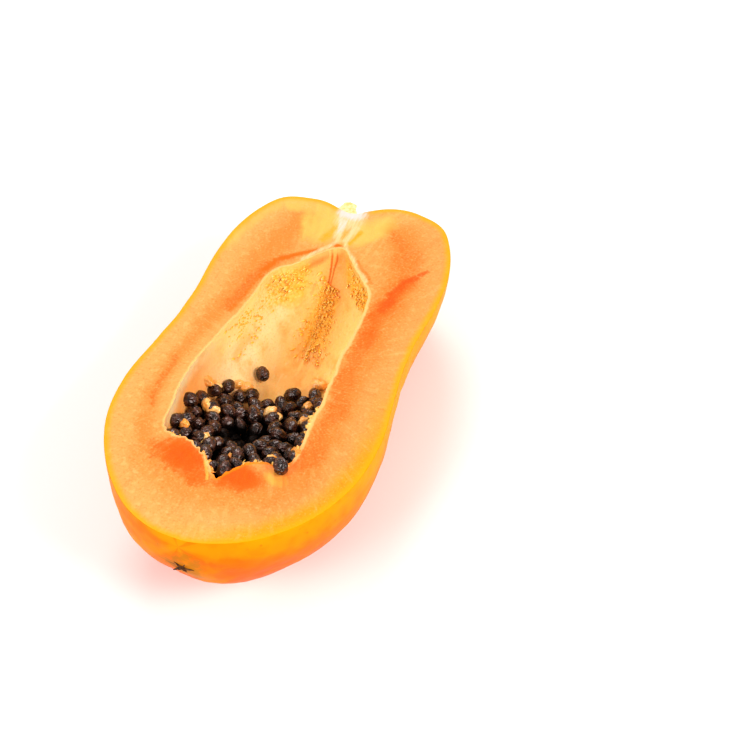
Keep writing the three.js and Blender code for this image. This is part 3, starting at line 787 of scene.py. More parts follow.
@dataclass(frozen=True)
class SkinFinish:
    """The ripe skin: smooth and waxy, yellow by the cut and orange below, with a dry star at the tip; painted
    shade deepens it low down and in the ribs' grooves, and painted light brightens its left side and the
    ribs' crests.
    """

    # Yellow: the skin's own colour by the cut, also laid on as painted light on the left side and the ribs'
    # crests.
    yellow: Colour = seen(254, 172, 2)
    orange: Colour = seen(254, 134, 0)
    # Deep orange: partly the skin's own colour, partly painted shade low down and in the ribs' grooves.
    deep: Colour = seen(248, 104, 0)
    olive: Colour = srgb(176, 122, 14)
    freckle: Colour = seen(214, 104, 10)
    dry: Colour = srgb(110, 66, 22)
    scar_dip_deg: float = 10.0

    def make(self) -> bpy.types.Material:
        """Builds the material."""
        g, form = Graph("ripe_skin"), FruitForm()
        cut = g.attribute(Mark.CUT.value, "Vector")
        x, y, z = g.parts(cut)
        drift = g.noise(cut, 0.045, 3.0) - 0.5
        blotch = g.noise(cut, 0.16, 3.0) - 0.5
        tipward = y.rise(10, -60) * 9
        # Yellow by the cut, orange below and deep orange lowest: partly the skin's own colour, partly painted
        # shade that darkens it towards the bottom.
        colour = g.mix((z - tipward + drift * 22).rise(-4, -22), self.yellow, self.orange)
        colour = g.mix((z - tipward + drift * 26).rise(-18, -50) * 0.85, colour, self.deep)
        over = z - form.middle[2]
        ribs = (x.maths("ARCTAN2", x, over) + math.radians(form.rib_phase_deg)) * form.rib_count
        ribbed = ribs.maths("COSINE", ribs) * y.rise(-10, -62)
        # Yellower on the ribs' crests and deeper orange in their grooves, broken up by blotches: painted
        # light and painted shade that follow the ribs.
        colour = g.mix((ribbed + blotch * 1.5).rise(0.2, 1.0) * 0.45, colour, self.yellow)
        colour = g.mix((ribbed + blotch * 1.5).rise(-0.3, -1.0) * 0.4, colour, self.deep)
        colour = g.mix(blotch.rise(0.0, 0.22) * 0.25, colour, self.yellow)
        colour = g.mix(blotch.rise(0.0, -0.2) * 0.2, colour, self.deep)
        # Painted light: the skin's left side, towards the cut, is made yellower, as if lit more.
        colour = g.mix(x.rise(-22, -46) * z.rise(-40, -8) * 0.6, colour, self.yellow)
        dots = g.cells(cut, 0.3)
        sparse = g.noise(cut, 0.1, 1.0).rise(0.48, 0.62)
        colour = g.mix(dots.rise(0.2, 0.08) * sparse * 0.5, colour, self.freckle)
        dip = math.radians(self.scar_dip_deg)
        rise = over * math.cos(dip) - y * math.sin(dip)
        gap = (x * x + rise * rise) ** 0.5 + y.rise(-60, -40) * 60
        colour = g.mix((gap + blotch * 30).rise(12, 4) * 0.7, colour, self.olive)
        flat = g.out(g.node("ShaderNodeCombineXYZ", values={0: x, 1: rise}))
        way = g.node("ShaderNodeVectorMath", {"operation": "NORMALIZE"}, {0: flat})
        rays = g.noise(g.out(way), 2.2, 2.0)
        colour = g.mix(rays.rise(0.5, 0.62) * (gap + blotch * 6).rise(8, 2.2) * 0.8, colour, self.dry)
        stem_x, stem_y = x + 5, y - 106
        by_stem = (stem_x * stem_x + stem_y * stem_y + z * z) ** 0.5
        colour = g.mix((by_stem + blotch * 5).rise(13, 6) * 0.5, colour, self.olive)
        peel = g.noise(cut, 1.1, 2.0)
        normal = g.raised(peel, 0.0004, 0.12)
        normal = g.raised(blotch + 0.5, 0.002, 0.1, normal)
        return g.finish(
            Base_Color=colour,
            Roughness=0.4 + blotch * 0.2,
            Normal=normal,
            Specular_IOR_Level=0.04,
            Coat_Weight=0.015,
            Coat_Roughness=0.12,
        )


@dataclass(frozen=True)
class SeedFinish:
    """Ripe seeds: black-brown, ridged and wet, with painted shade that darkens them deeper in the heap."""

    ridge: Colour = srgb(88, 50, 38)
    hollow: Colour = srgb(22, 10, 6)
    shadow: Colour = srgb(9, 3, 1)

    def make(self) -> bpy.types.Material:
        """Builds the material."""
        g = Graph("ripe_seed")
        place = g.out(g.node("ShaderNodeTexCoord"), "Object")
        shade = g.noise(place, 500, 3.0)
        fine = g.noise(place, 1500, 2.0)
        colour = g.mix((shade * 0.7 + fine * 0.3).rise(0.42, 0.64), self.hollow, self.ridge)
        # Painted shade: seeds that lie deeper in the heap and in its pit are mixed towards near-black by this
        # share.
        sunk = g.attribute(Mark.PAINTED_SHADE.value)
        colour = g.mix(sunk, colour, self.shadow)
        normal = g.raised(shade * 0.6 + fine * 0.4, 0.0007, 0.85)
        return g.finish(
            Base_Color=colour,
            # Roughness, metal and coat follow the painted shade too, to damp the deep seeds' reflections.
            Roughness=0.14 + fine * 0.24 + sunk * 0.3,
            Metallic=sunk * 0.85,
            Normal=normal,
            Specular_IOR_Level=0.7,
            Specular_Tint=(1.0, 0.82, 0.76, 1.0),
            Coat_Weight=0.35 - sunk * 0.33,
            Coat_Roughness=0.1,
        )


@dataclass(frozen=True)
class SoftFinish:
    """A plain soft or dry tissue in two close tones: undeveloped seeds, pith, torn shreds or the star."""

    name: str
    light: Colour
    dark: Colour
    roughness: float = 0.4
    coat: float = 0.2
    scale: float = 700.0
    relief: float = 0.0003

    def make(self) -> bpy.types.Material:
        """Builds the material."""
        g = Graph(self.name)
        place = g.out(g.node("ShaderNodeTexCoord"), "Object")
        tone = g.noise(place, self.scale, 3.0)
        broad = g.noise(place, self.scale / 6, 2.0)
        colour = g.mix((tone * 0.5 + broad * 0.5).rise(0.36, 0.64), self.light, self.dark)
        return g.finish(
            Base_Color=colour,
            Roughness=self.roughness - 0.1 + tone * 0.2,
            Normal=g.raised(tone, self.relief, 0.5),
            Subsurface_Weight=0.25,
            Subsurface_Radius=(1.0, 0.6, 0.3),
            Subsurface_Scale=0.0005,
            Coat_Weight=self.coat,
            Coat_Roughness=0.15,
        )


PALE_SEED_FINISH = SoftFinish("undeveloped_seed", srgb(255, 208, 136), srgb(252, 154, 44), 0.3, 0.4, 330.0)
PITH_FINISH = SoftFinish("stem_pith", srgb(252, 232, 176), srgb(240, 196, 110), 0.7, 0.0, 900.0, 0.0008)
SHRED_FINISH = SoftFinish("torn_edge", srgb(255, 206, 116), srgb(255, 146, 34), 0.35, 0.3, 420.0)
SCAR_FINISH = SoftFinish("blossom_scar", srgb(126, 78, 28), srgb(60, 34, 16), 0.75, 0.0, 900.0, 0.0006)


@dataclass(frozen=True)
class PapillaFinish:
    """The papillae: orange at the root and pale gold at the tip, moist; the orange root is partly painted
    shade among them and the pale tip partly a painted highlight.
    """

    root: Colour = srgb(254, 172, 52)
    body: Colour = srgb(255, 206, 86)
    tip: Colour = srgb(255, 228, 150)

    def make(self) -> bpy.types.Material:
        """Builds the material."""
        g = Graph("papilla")
        place = g.out(g.node("ShaderNodeTexCoord"), "Object")
        tone = g.noise(place, 700, 2.0) - 0.5
        up = g.attribute(Mark.TIP.value) + tone * 0.5
        # Orange at the root, gold in the body, pale at the tip: partly their own colour, partly painted shade
        # at the roots and a painted highlight at the tips.
        colour = g.mix(up.rise(0.25, 0.6), self.root, self.body)
        colour = g.mix(up.rise(0.6, 1.0), colour, self.tip)
        return g.finish(
            Base_Color=colour,
            Roughness=0.32 + tone * 0.2,
            Coat_Weight=0.3,
            Coat_Roughness=0.15,
        )


# Meshes


def deselect() -> None:
    """Leaves nothing selected, so that an operator acts on new work alone."""
    if bpy.context.object and bpy.context.object.mode != "OBJECT":
        bpy.ops.object.mode_set(mode="OBJECT")
    bpy.ops.object.select_all(action="DESELECT")


def newest(name: str) -> bpy.types.Object:
    """The object that an operator has just added, named."""
    made = bpy.context.object
    made.name = name
    made.data.name = name
    return made


def smoothed(piece: bpy.types.Object, angle_deg: float = 40.0) -> bpy.types.Object:
    """Shades a piece smooth, with edges over an angle left sharp."""
    deselect()
    piece.select_set(True)
    bpy.context.view_layer.objects.active = piece
    bpy.ops.object.shade_smooth_by_angle(angle=math.radians(angle_deg))
    return piece


def rounded(piece: bpy.types.Object) -> bpy.types.Object:
    """Shades a piece smooth all over."""
    for polygon in piece.data.polygons:
        polygon.use_smooth = True
    return piece


def coordinates(piece: bpy.types.Object) -> np.ndarray:
    """A mesh's points, one a row."""
    points = np.empty(len(piece.data.vertices) * 3)
    piece.data.vertices.foreach_get("co", points)
    return points.reshape(-1, 3)


def set_coordinates(piece: bpy.types.Object, points: np.ndarray) -> None:
    """Moves a mesh's points."""
    piece.data.vertices.foreach_set("co", points.astype(np.float32).ravel())
    piece.data.update()


def mark_points(piece: bpy.types.Object, mark: Mark, values: np.ndarray) -> None:
    """Writes an attribute of a mesh's points: numbers, or vectors where values has rows of three."""
    kind, key = ("FLOAT_VECTOR", "vector") if values.ndim == 2 else ("FLOAT", "value")
    made = piece.data.attributes.new(mark.value, kind, "POINT")
    made.data.foreach_set(key, values.astype(np.float32).ravel())


def signed_volume(piece: bpy.types.Object) -> float:
    """The volume that a closed mesh encloses, below 0 where it is inside out."""
    piece.data.calc_loop_triangles()
    corners = np.empty(len(piece.data.loop_triangles) * 3, np.int32)
    piece.data.loop_triangles.foreach_get("vertices", corners)
    a, b, c = coordinates(piece)[corners.reshape(-1, 3)].transpose(1, 0, 2)
    return float(np.einsum("ij,ij->i", a, np.cross(b, c)).sum() / 6)


def outward(piece: bpy.types.Object) -> bpy.types.Object:
    """Turns a closed mesh's faces outwards."""
    if signed_volume(piece) < 0:
        piece.data.flip_normals()
    return piece


def joined(name: str, pieces: list[bpy.types.Object]) -> bpy.types.Object:
    """Several pieces as one object."""
    deselect()
    for piece in pieces:
        piece.select_set(True)
    bpy.context.view_layer.objects.active = pieces[0]
    if len(pieces) > 1:
        bpy.ops.object.join()
    return newest(name)


def settle(piece: bpy.types.Object, node: str = "") -> None:
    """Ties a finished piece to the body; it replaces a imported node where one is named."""
    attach(piece, ROOT)
    if node:
        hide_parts(node)


def copies(
    name: str, models: list[bpy.types.Object], places: list[Matrix], collection: bpy.types.Collection
) -> bpy.types.Object:
    """Copies of a few models in many places, each with its own mesh, as one object.

    Args:
        name: The object's name.
        models: What is copied in turn; they are removed afterwards.
        places: Where each copy goes.
        collection: Where the copies are kept.

    Returns:
        The joined object, at the origin.
    """
    made = []
    for i, place in enumerate(places):
        model = models[i % len(models)]
        copy = model.copy()
        copy.data = model.data.copy()
        copy.data.transform(place)
        collection.objects.link(copy)
        made.append(copy)
    for model in models:
        bpy.data.objects.remove(model)
    return joined(name, made)


@dataclass
class RingBody:
    """A closed body laid over a ball's rings, each ring's points given."""

    name: str
    rings: list[np.ndarray]
    lying: Lying

    def make(self) -> tuple[bpy.types.Object, np.ndarray, np.ndarray]:
        """Adds a ball and moves its points to the rings.

        Returns:
            The object, and each of its points' ring and place in the ring.
        """
        grid = np.array([np.broadcast_to(ring, self.rings[1].shape) for ring in self.rings])
        count, around = grid.shape[:2]
        deselect()
        bpy.ops.mesh.primitive_uv_sphere_add(segments=around, ring_count=count - 1, radius=1)
        piece = newest(self.name)
        ball = coordinates(piece)
        polar = np.arccos(np.clip(ball[:, 2], -1, 1))
        ring = np.rint(polar / math.pi * (count - 1)).astype(int)
        turn = np.arctan2(ball[:, 1], ball[:, 0]) / (2 * math.pi)
        spot = np.rint(turn * around).astype(int) % around
        set_coordinates(piece, self.lying.to_row(grid[ring, spot]))
        return outward(piece), ring, spot


def normals_of(grid: np.ndarray) -> np.ndarray:
    """Directions square to a grid of rings, out of the body, one a point."""
    along = np.gradient(grid, axis=0)
    around = (np.roll(grid, -1, 1) - np.roll(grid, 1, 1)) / 2
    square = np.cross(along, around)
    length = np.linalg.norm(square, axis=-1, keepdims=True)
    return np.divide(square, length, out=np.zeros_like(square), where=length > 1e-9)


def distance_to_loop(points: np.ndarray, loop: np.ndarray) -> np.ndarray:
    """Distance of points in a plane from a closed line.

    Args:
        points: Places, one a row.
        loop: The line's corners, one a row.

    Returns:
        One distance a point.
    """
    start, step = loop, np.roll(loop, -1, 0) - loop
    length = np.maximum((step**2).sum(-1), 1e-12)
    nearest = []
    for block in np.array_split(points, max(1, len(points) // 4000)):
        away = block[:, None] - start[None]
        t = np.clip((away * step).sum(-1) / length, 0, 1)
        nearest.append(np.linalg.norm(away - t[..., None] * step, axis=-1).min(1))
    return np.concatenate(nearest)


@dataclass
class Half:
    """The big piece: lining, cut face and skin in one closed surface."""

    form: FruitForm
    lying: Lying
    around: int = 320
    lining_rings: int = 72
    face_rings: int = 46
    skin_rings: int = 84
    end_crowding: float = 0.62
    rim_crowding: float = 1.25
    lining_waviness: float = 0.35
    lining_grain: float = 0.14
    band_relief: float = 0.15
    lip_height: float = 0.35
    lip_reach: float = 0.9
    edge_jag: float = 0.4
    fold_jag: float = 0.8
    skin_waviness: float = 0.25
    fibre_turns: float = 35.0
    edge_at: int = field(init=False, default=0)
    rim_at: int = field(init=False, default=0)

    @cached_property
    def bearings(self) -> np.ndarray:
        """Bearings of a ring's points, crowded at the two narrow ends."""
        turn = np.arange(self.around) / self.around * 2 * math.pi
        return np.arctan2(self.end_crowding * np.sin(-turn), np.cos(turn))

    def _lining(self) -> list[np.ndarray]:
        """Rings of the lining, from its middle to just under the edge."""
        shares = np.sin(np.arange(self.lining_rings) / self.lining_rings * math.pi / 2)
        shares = np.concatenate([shares, self.form.share_at(np.array([0.7, 0.35, 0.1]))])
        return [self.form.lining(self.bearings, np.full(self.around, share)) for share in shares]

    def _face(self, edge: np.ndarray, rim: np.ndarray) -> list[np.ndarray]:
        """Rings of the cut face, from the cavity's edge to the rim, rounded over at both."""
        width = np.linalg.norm(rim - edge, axis=-1)[:, None]
        steps = np.linspace(0, 1, self.face_rings)
        rings = [edge + (rim - edge) * (step + (0.25 / width) * (step == 0)) for step in steps[:-1]]
        near_rim = rim + (edge - rim) * (0.12 / width)
        near_rim[:, 2] -= 0.04
        return [*rings, rim + (edge - rim) * (0.4 / width), near_rim]

    def _skin(self, rim: np.ndarray) -> list[np.ndarray]:
        """Rings of the skin, from just under the rim to the lowest point."""
        start = rim - np.array(self.form.middle)
        start /= np.linalg.norm(start, axis=-1, keepdims=True)
        down = np.array([0.0, 0.0, -1.0])
        angle = np.arccos(np.clip(start @ down, -1, 1))[:, None]
        shares = (np.arange(self.skin_rings) + 1) / self.skin_rings
        rings = []
        for share in np.concatenate([[0.0035], shares**self.rim_crowding]):
            way = start * np.sin((1 - share) * angle) + down * np.sin(share * angle)
            way /= np.linalg.norm(way, axis=-1, keepdims=True)
            rings.append(self.form.skin(way))
        return rings

    @staticmethod
    def bands(places: np.ndarray) -> np.ndarray:
        """How strongly the lining carries papillae at places: beside its edge and under the stem."""
        x, y, z = places[..., 0], places[..., 1], places[..., 2]
        left = smoothstep(z, -22, -10) * smoothstep(-x, 5, 16) * (0.3 + 0.7 * smoothstep(y, 36, 64))
        left = left * smoothstep(y, 8, 24)
        wide = 3.2 + 0.19 * (79 - y)
        centre = np.exp(-(((x + 2.4) / wide) ** 2)) * smoothstep(y, 48, 66) * smoothstep(-y, -80, -75)
        right = smoothstep(x, 0, 6) * smoothstep(z, -16, -8) * smoothstep(y, 60, 68)
        return np.maximum(np.maximum(left, centre), right) * (z < -0.02)

    def _relief(self, grid: np.ndarray) -> np.ndarray:
        """The grid with its small relief: wavy lining, torn lip, soft undulations of the skin."""
        square = normals_of(grid)
        flat = grid.reshape(-1, 3)
        wave = rough(flat, 8.0, 2).reshape(grid.shape[:2])
        grain = rough(flat, 1.6, 2).reshape(grid.shape[:2])
        rows = np.arange(len(grid))[:, None]
        in_lining = rows < self.edge_at
        depth = np.minimum(-grid[..., 2] / 2.5, 1)
        lumps = self.lining_grain + self.band_relief * self.bands(grid)
        push = in_lining * depth * (self.lining_waviness * wave + lumps * grain)
        push = push + (rows > self.rim_at) * self.skin_waviness * wave * np.minimum(-grid[..., 2] / 9, 1)
        moved = grid + square * push[..., None]
        edge = grid[self.edge_at]
        gap = np.linalg.norm((grid - edge)[..., :2], axis=-1) * np.sign(rows - self.edge_at)
        torn = np.abs(rough(edge, 1.9, 3)) + 0.4 * np.abs(rough(edge, 6.0, 1))
        lip = self.lip_height * torn * bump(gap, 0.5, self.lip_reach) * (np.abs(grid[..., 2]) < 1.5)
        moved[..., 2] += lip
        jag = self.edge_jag + self.fold_jag * smoothstep(-edge[:, 1], 22, 30)
        sway = (jag * rough(edge * (1, 1, 0) + 40, 1.7, 3))[None] * bump(gap, 0, 1.3)
        sway = sway * (grid[..., 2] > -2)
        out = edge - np.array([self.form.cavity_x, self.form.cavity_y, 0])
        out /= np.linalg.norm(out, axis=-1, keepdims=True)
        return moved + sway[..., None] * out[None]

    def make(self) -> bpy.types.Object:
        """Builds, marks and dresses the piece."""
        edge = self.form.lining(self.bearings, np.ones(self.around))
        edge[:, 2] = -0.03
        rim = self.form.rim(self.bearings)
        lining, face, skin = self._lining(), self._face(edge, rim), self._skin(rim)
        self.edge_at = len(lining)
        self.rim_at = len(lining) + len(face)
        plain = np.array([*lining, edge, *face, *skin])
        grid = self._relief(plain)
        grid[0], grid[-1] = grid[0].mean(0), grid[-1].mean(0)
        piece, ring, spot = RingBody("papaya_half", list(grid), self.lying).make()
        points = coordinates(piece)
        points[:, 2] = np.maximum(points[:, 2], 0)
        set_coordinates(piece, points)
        self._mark(piece, plain[ring, spot], edge, rim)
        self._dress(piece, ring)
        settle(piece, "fruit_half")
        return smoothed(piece, 50)

    def _mark(self, piece: bpy.types.Object, places: np.ndarray, edge: np.ndarray, rim: np.ndarray) -> None:
        """Writes the attributes that the finishes read."""
        to_edge = distance_to_loop(places[:, :2], edge[:, :2])
        to_rim = distance_to_loop(places[:, :2], rim[:, :2])
        from_middle = places[:, :2] - (self.form.cavity_x, self.form.cavity_y)
        reach = np.maximum(np.linalg.norm(from_middle, axis=-1, keepdims=True), 1e-6)
        around = np.concatenate([from_middle / reach * self.fibre_turns, reach], axis=1)
        mark_points(piece, Mark.CUT, places)
        mark_points(piece, Mark.AROUND, around)
        mark_points(piece, Mark.EDGE, to_edge)
        mark_points(piece, Mark.RIM, to_rim)
        mark_points(piece, Mark.BAND, self.bands(places))

    def _dress(self, piece: bpy.types.Object, ring: np.ndarray) -> None:
        """Gives lining, cut face and skin their materials."""
        for finish in (LiningFinish(), FleshFinish(), SkinFinish()):
            piece.data.materials.append(finish.make())
        corners = np.empty(len(piece.data.loops), np.int32)
        piece.data.loops.foreach_get("vertex_index", corners)
        starts = np.empty(len(piece.data.polygons), np.int32)
        piece.data.polygons.foreach_get("loop_start", starts)
        highest = np.maximum.reduceat(ring[corners], starts)
        looks = (highest > self.edge_at).astype(np.int32) + (highest > self.rim_at)
        piece.data.polygons.foreach_set("material_index", looks.astype(np.int32))


@dataclass
class SeedForm:
    """One ripe seed: an egg with crinkled ridges."""

    length: float = 7.6
    width: float = 5.6
    ridge_height: float = 0.36
    ridge_size: float = 1.5
    variants: int = 6

    def model(self, variant: int, fineness: int = 4) -> bpy.types.Object:
        """One seed lying along Y about the origin.

        Args:
            variant: Which pattern of ridges it gets.
            fineness: Subdivisions of its ball.

        Returns:
            The seed, in millimetres.
        """
        deselect()
        bpy.ops.mesh.primitive_ico_sphere_add(subdivisions=fineness, radius=1)
        piece = newest("seed_model")
        ball = coordinates(piece)
        taper = 1 - 0.1 * ball[:, 1:2]
        points = ball * (self.width / 2, self.length / 2, self.width / 2) * np.concatenate(
            [taper, np.ones_like(taper), taper], axis=1
        )
        along = points * (1, 0.5, 1) + 31 * (variant + 1)
        ridges = 1 - np.abs(rough(along, self.ridge_size, 2)) * 2.2
        points += ball * (self.ridge_height * (np.clip(ridges, -1, 1) - 0.75))[:, None]
        set_coordinates(piece, points)
        return rounded(piece)

    def models(self, fineness: int) -> list[bpy.types.Object]:
        """All the variants."""
        return [self.model(variant, fineness) for variant in range(self.variants)]


@dataclass
class SeedHeap:
    """The heap of ripe seeds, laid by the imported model's rule, with more seeds under its top."""

    form: FruitForm
    lying: Lying
    seed: SeedForm
    tip_y: float = -42.0
    tip_z: float = -2.5
    slope: float = 0.385
    top_y: float = 33.0
    side_rise: float = 5.0
    side_reach: float = 26.0
    hollows: tuple[tuple[float, float, float, float], ...] = (
        (-5.5, -8, 8, 8.5), (-9, 26, 6, 9), (-22, 12, 2, 7),
    )
    spacing: float = 5.0
    jitter: float = 1.1
    tries: int = 3000
    draw_seed: int = 7
    under_steps: tuple[float, ...] = (4.6, 8.6)
    under_spacing: float = 5.2
    throw_x: tuple[float, float] = (-30, 56)
    under_x: tuple[float, float] = (-29, 54)
    inside: float = 0.95
    loose_inside: float = 0.93
    room_over: float = 2.5
    room_under: float = 1.6
    sinking: float = 1.5
    # The painted shade on the seeds: the pit's reach, the depth that it adds in the pit, and the depths over
    # which the seeds darken.
    pit_reach: float = 8.0
    pit_gloom: float = 5.0
    dark_from_to: tuple[float, float] = (0.5, 5.0)
    loosening: int = 14
    loose_spacing: float = 6.0
    push: float = 0.3
    lone: LooseSpot = (-13.5, 32.8, 35.0, 1.0, 9)
    lip: LooseSpot = (22.0, -32.3, 30.0, 0.1, 12)
    top_fineness: int = 4
    under_fineness: int = 3
    loose_fineness: int = 5

    def slope_top(self, x: np.ndarray, y: np.ndarray) -> np.ndarray:
        """Height of the heap's top without its hollows."""
        return self.tip_z - self.slope * (y - self.tip_y) + self.side_rise * (x / self.side_reach) ** 2

    def top(self, x: float, y: float) -> float:
        """Height of the heap's top."""
        sunk = sum(d * math.exp(-((math.hypot(x - hx, y - hy) / r) ** 2)) for hx, hy, d, r in self.hollows)
        return self.slope_top(x, y) - sunk

    def places(self) -> list[tuple[float, float, float, float, float]]:
        """Centres, turns and tips of the seeds on top: thrown one by one and kept apart."""
        draw = drawn_from(self.draw_seed)
        found = []
        for _ in range(self.tries):
            x = self.throw_x[0] + self.throw_x[1] * next(draw)
            y = self.tip_y + (self.top_y - self.tip_y) * next(draw)
            lift = self.jitter * (2 * next(draw) - 1)
            turn, tip = next(draw) * 180, next(draw) * 70 - 35
            share, floor = self.form.underfoot(x, y)
            z = max(self.top(x, y) + lift, floor + self.seed.width / 2)
            if share >= self.inside or z >= self.top(x, y) + self.room_over:
                continue
            if all(math.dist((x, y, z), p[:3]) > self.spacing for p in found):
                found.append((x, y, z, turn, tip))
        return self._loosened(found)

    def _loosened(self, places: list[tuple[float, ...]]) -> list[tuple[float, ...]]:
        """The same seeds pushed apart a little, so that each shows its own outline."""
        centres = np.array([place[:3] for place in places])
        for _ in range(self.loosening):
            apart = centres[:, None] - centres[None]
            gap = np.linalg.norm(apart, axis=-1)
            np.fill_diagonal(gap, self.loose_spacing)
            short = np.maximum(self.loose_spacing - gap, 0) / gap
            moved = centres + self.push * (apart * short[..., None]).sum(1)
            for i, (x, y, z) in enumerate(moved):
                share, floor = self.form.underfoot(x, y)
                top = self.top(x, y)
                lowest, highest = floor + 0.5 * self.seed.width, top + self.room_over
                if share < self.loose_inside and lowest < highest:
                    centres[i] = x, y, min(max(z, lowest, top - self.sinking), highest)
        return [(*centre, *place[3:]) for centre, place in zip(centres.tolist(), places)]

    def _placed(self, places: list[tuple[float, ...]]) -> list[Matrix]:
        """Where each seed goes, as a matrix."""
        return [
            self.lying.matrix
            @ Matrix.Translation((x, y, z))
            @ Euler((0, 0, math.radians(turn))).to_matrix().to_4x4()
            @ Euler((math.radians(tip), 0, 0)).to_matrix().to_4x4()
            @ Matrix.Scale(0.96 + 0.07 * math.sin(7 * x + 3 * y), 4)
            for x, y, z, turn, tip in places
        ]

    def under(self) -> list[tuple[float, float, float, float, float]]:
        """Seeds that lie under the top ones, where the cavity is deep enough."""
        draw = drawn_from(self.draw_seed + 1)
        found = []
        for step in self.under_steps:
            level = []
            for _ in range(self.tries // 2):
                x = self.under_x[0] + self.under_x[1] * next(draw)
                y = self.tip_y + (self.top_y - self.tip_y) * next(draw)
                turn, tip = next(draw) * 180, next(draw) * 120 - 60
                share, floor = self.form.underfoot(x, y)
                z = self.top(x, y) - step
                room = share < self.inside and z > floor + self.room_under
                if room and all(math.dist((x, y), p[:2]) > self.under_spacing for p in level):
                    level.append((x, y, z, turn, tip))
            found += level
        return found

    def make(self) -> None:
        """Builds both layers."""
        collection = bpy.context.scene.collection
        models = self.seed.models(self.top_fineness)
        top = copies("seed_heap_top", models, self._placed(self.places()), collection)
        models = self.seed.models(self.under_fineness)
        under = copies("seed_heap_under", models, self._placed(self.under()), collection)
        finish = SeedFinish().make()
        for piece in (top, under):
            self._shade(piece)
            piece.data.materials.clear()
            piece.data.materials.append(finish)
            settle(piece, "seed_heap")
        self._loose(finish, "lone_seed", self.lone)
        self._loose(finish, "lip_seed", self.lip)

    def _shade(self, piece: bpy.types.Object) -> None:
        """Marks how far each point lies down in the heap, for the painted shade that darkens the seeds there.
        """
        x, y, z = self.lying.from_row(coordinates(piece)).T
        in_pit = bump(np.hypot(x - self.hollows[0][0], y - self.hollows[0][1]), 0, self.pit_reach)
        depth = self.slope_top(x, y) - z + self.pit_gloom * in_pit
        mark_points(piece, Mark.PAINTED_SHADE, smoothstep(depth, *self.dark_from_to))

    def _loose(self, finish: bpy.types.Material, node: str, spot: LooseSpot) -> None:
        """A seed that lies by itself, on the lining or on the cut face.

        Args:
            finish: Its material.
            node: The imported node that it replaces.
            spot: Its place in plan, its turn in degrees, its lift off what it lies on, and its variant.
        """
        x, y, turn, lift, variant = spot
        z = self.form.underfoot(x, y)[1] + self.seed.width / 2 + lift
        model = self.seed.model(variant, self.loose_fineness)
        model.data.transform(self._placed([(x, y, z, turn, 0.0)])[0])
        model.name = node + "_fine"
        model.data.materials.append(finish)
        settle(model, node)


def standing(
    lying: Lying, place: Vector, way: Vector, sizes: tuple[float, float], draw: Iterator[float]
) -> Matrix:
    """Where a model that stands along Z goes.

    Args:
        lying: How the half lies.
        place: Its root.
        way: The direction that it stands in.
        sizes: The smallest size, and how much is added to it at most.
        draw: Gives its spin and its size.

    Returns:
        The place as a matrix.
    """
    turn = UP.rotation_difference(way).to_matrix().to_4x4()
    spin = Matrix.Rotation(2 * math.pi * next(draw), 4, "Z")
    size = Matrix.Scale(sizes[0] + sizes[1] * next(draw) ** 2, 4)
    return lying.matrix @ Matrix.Translation(place) @ turn @ spin @ size


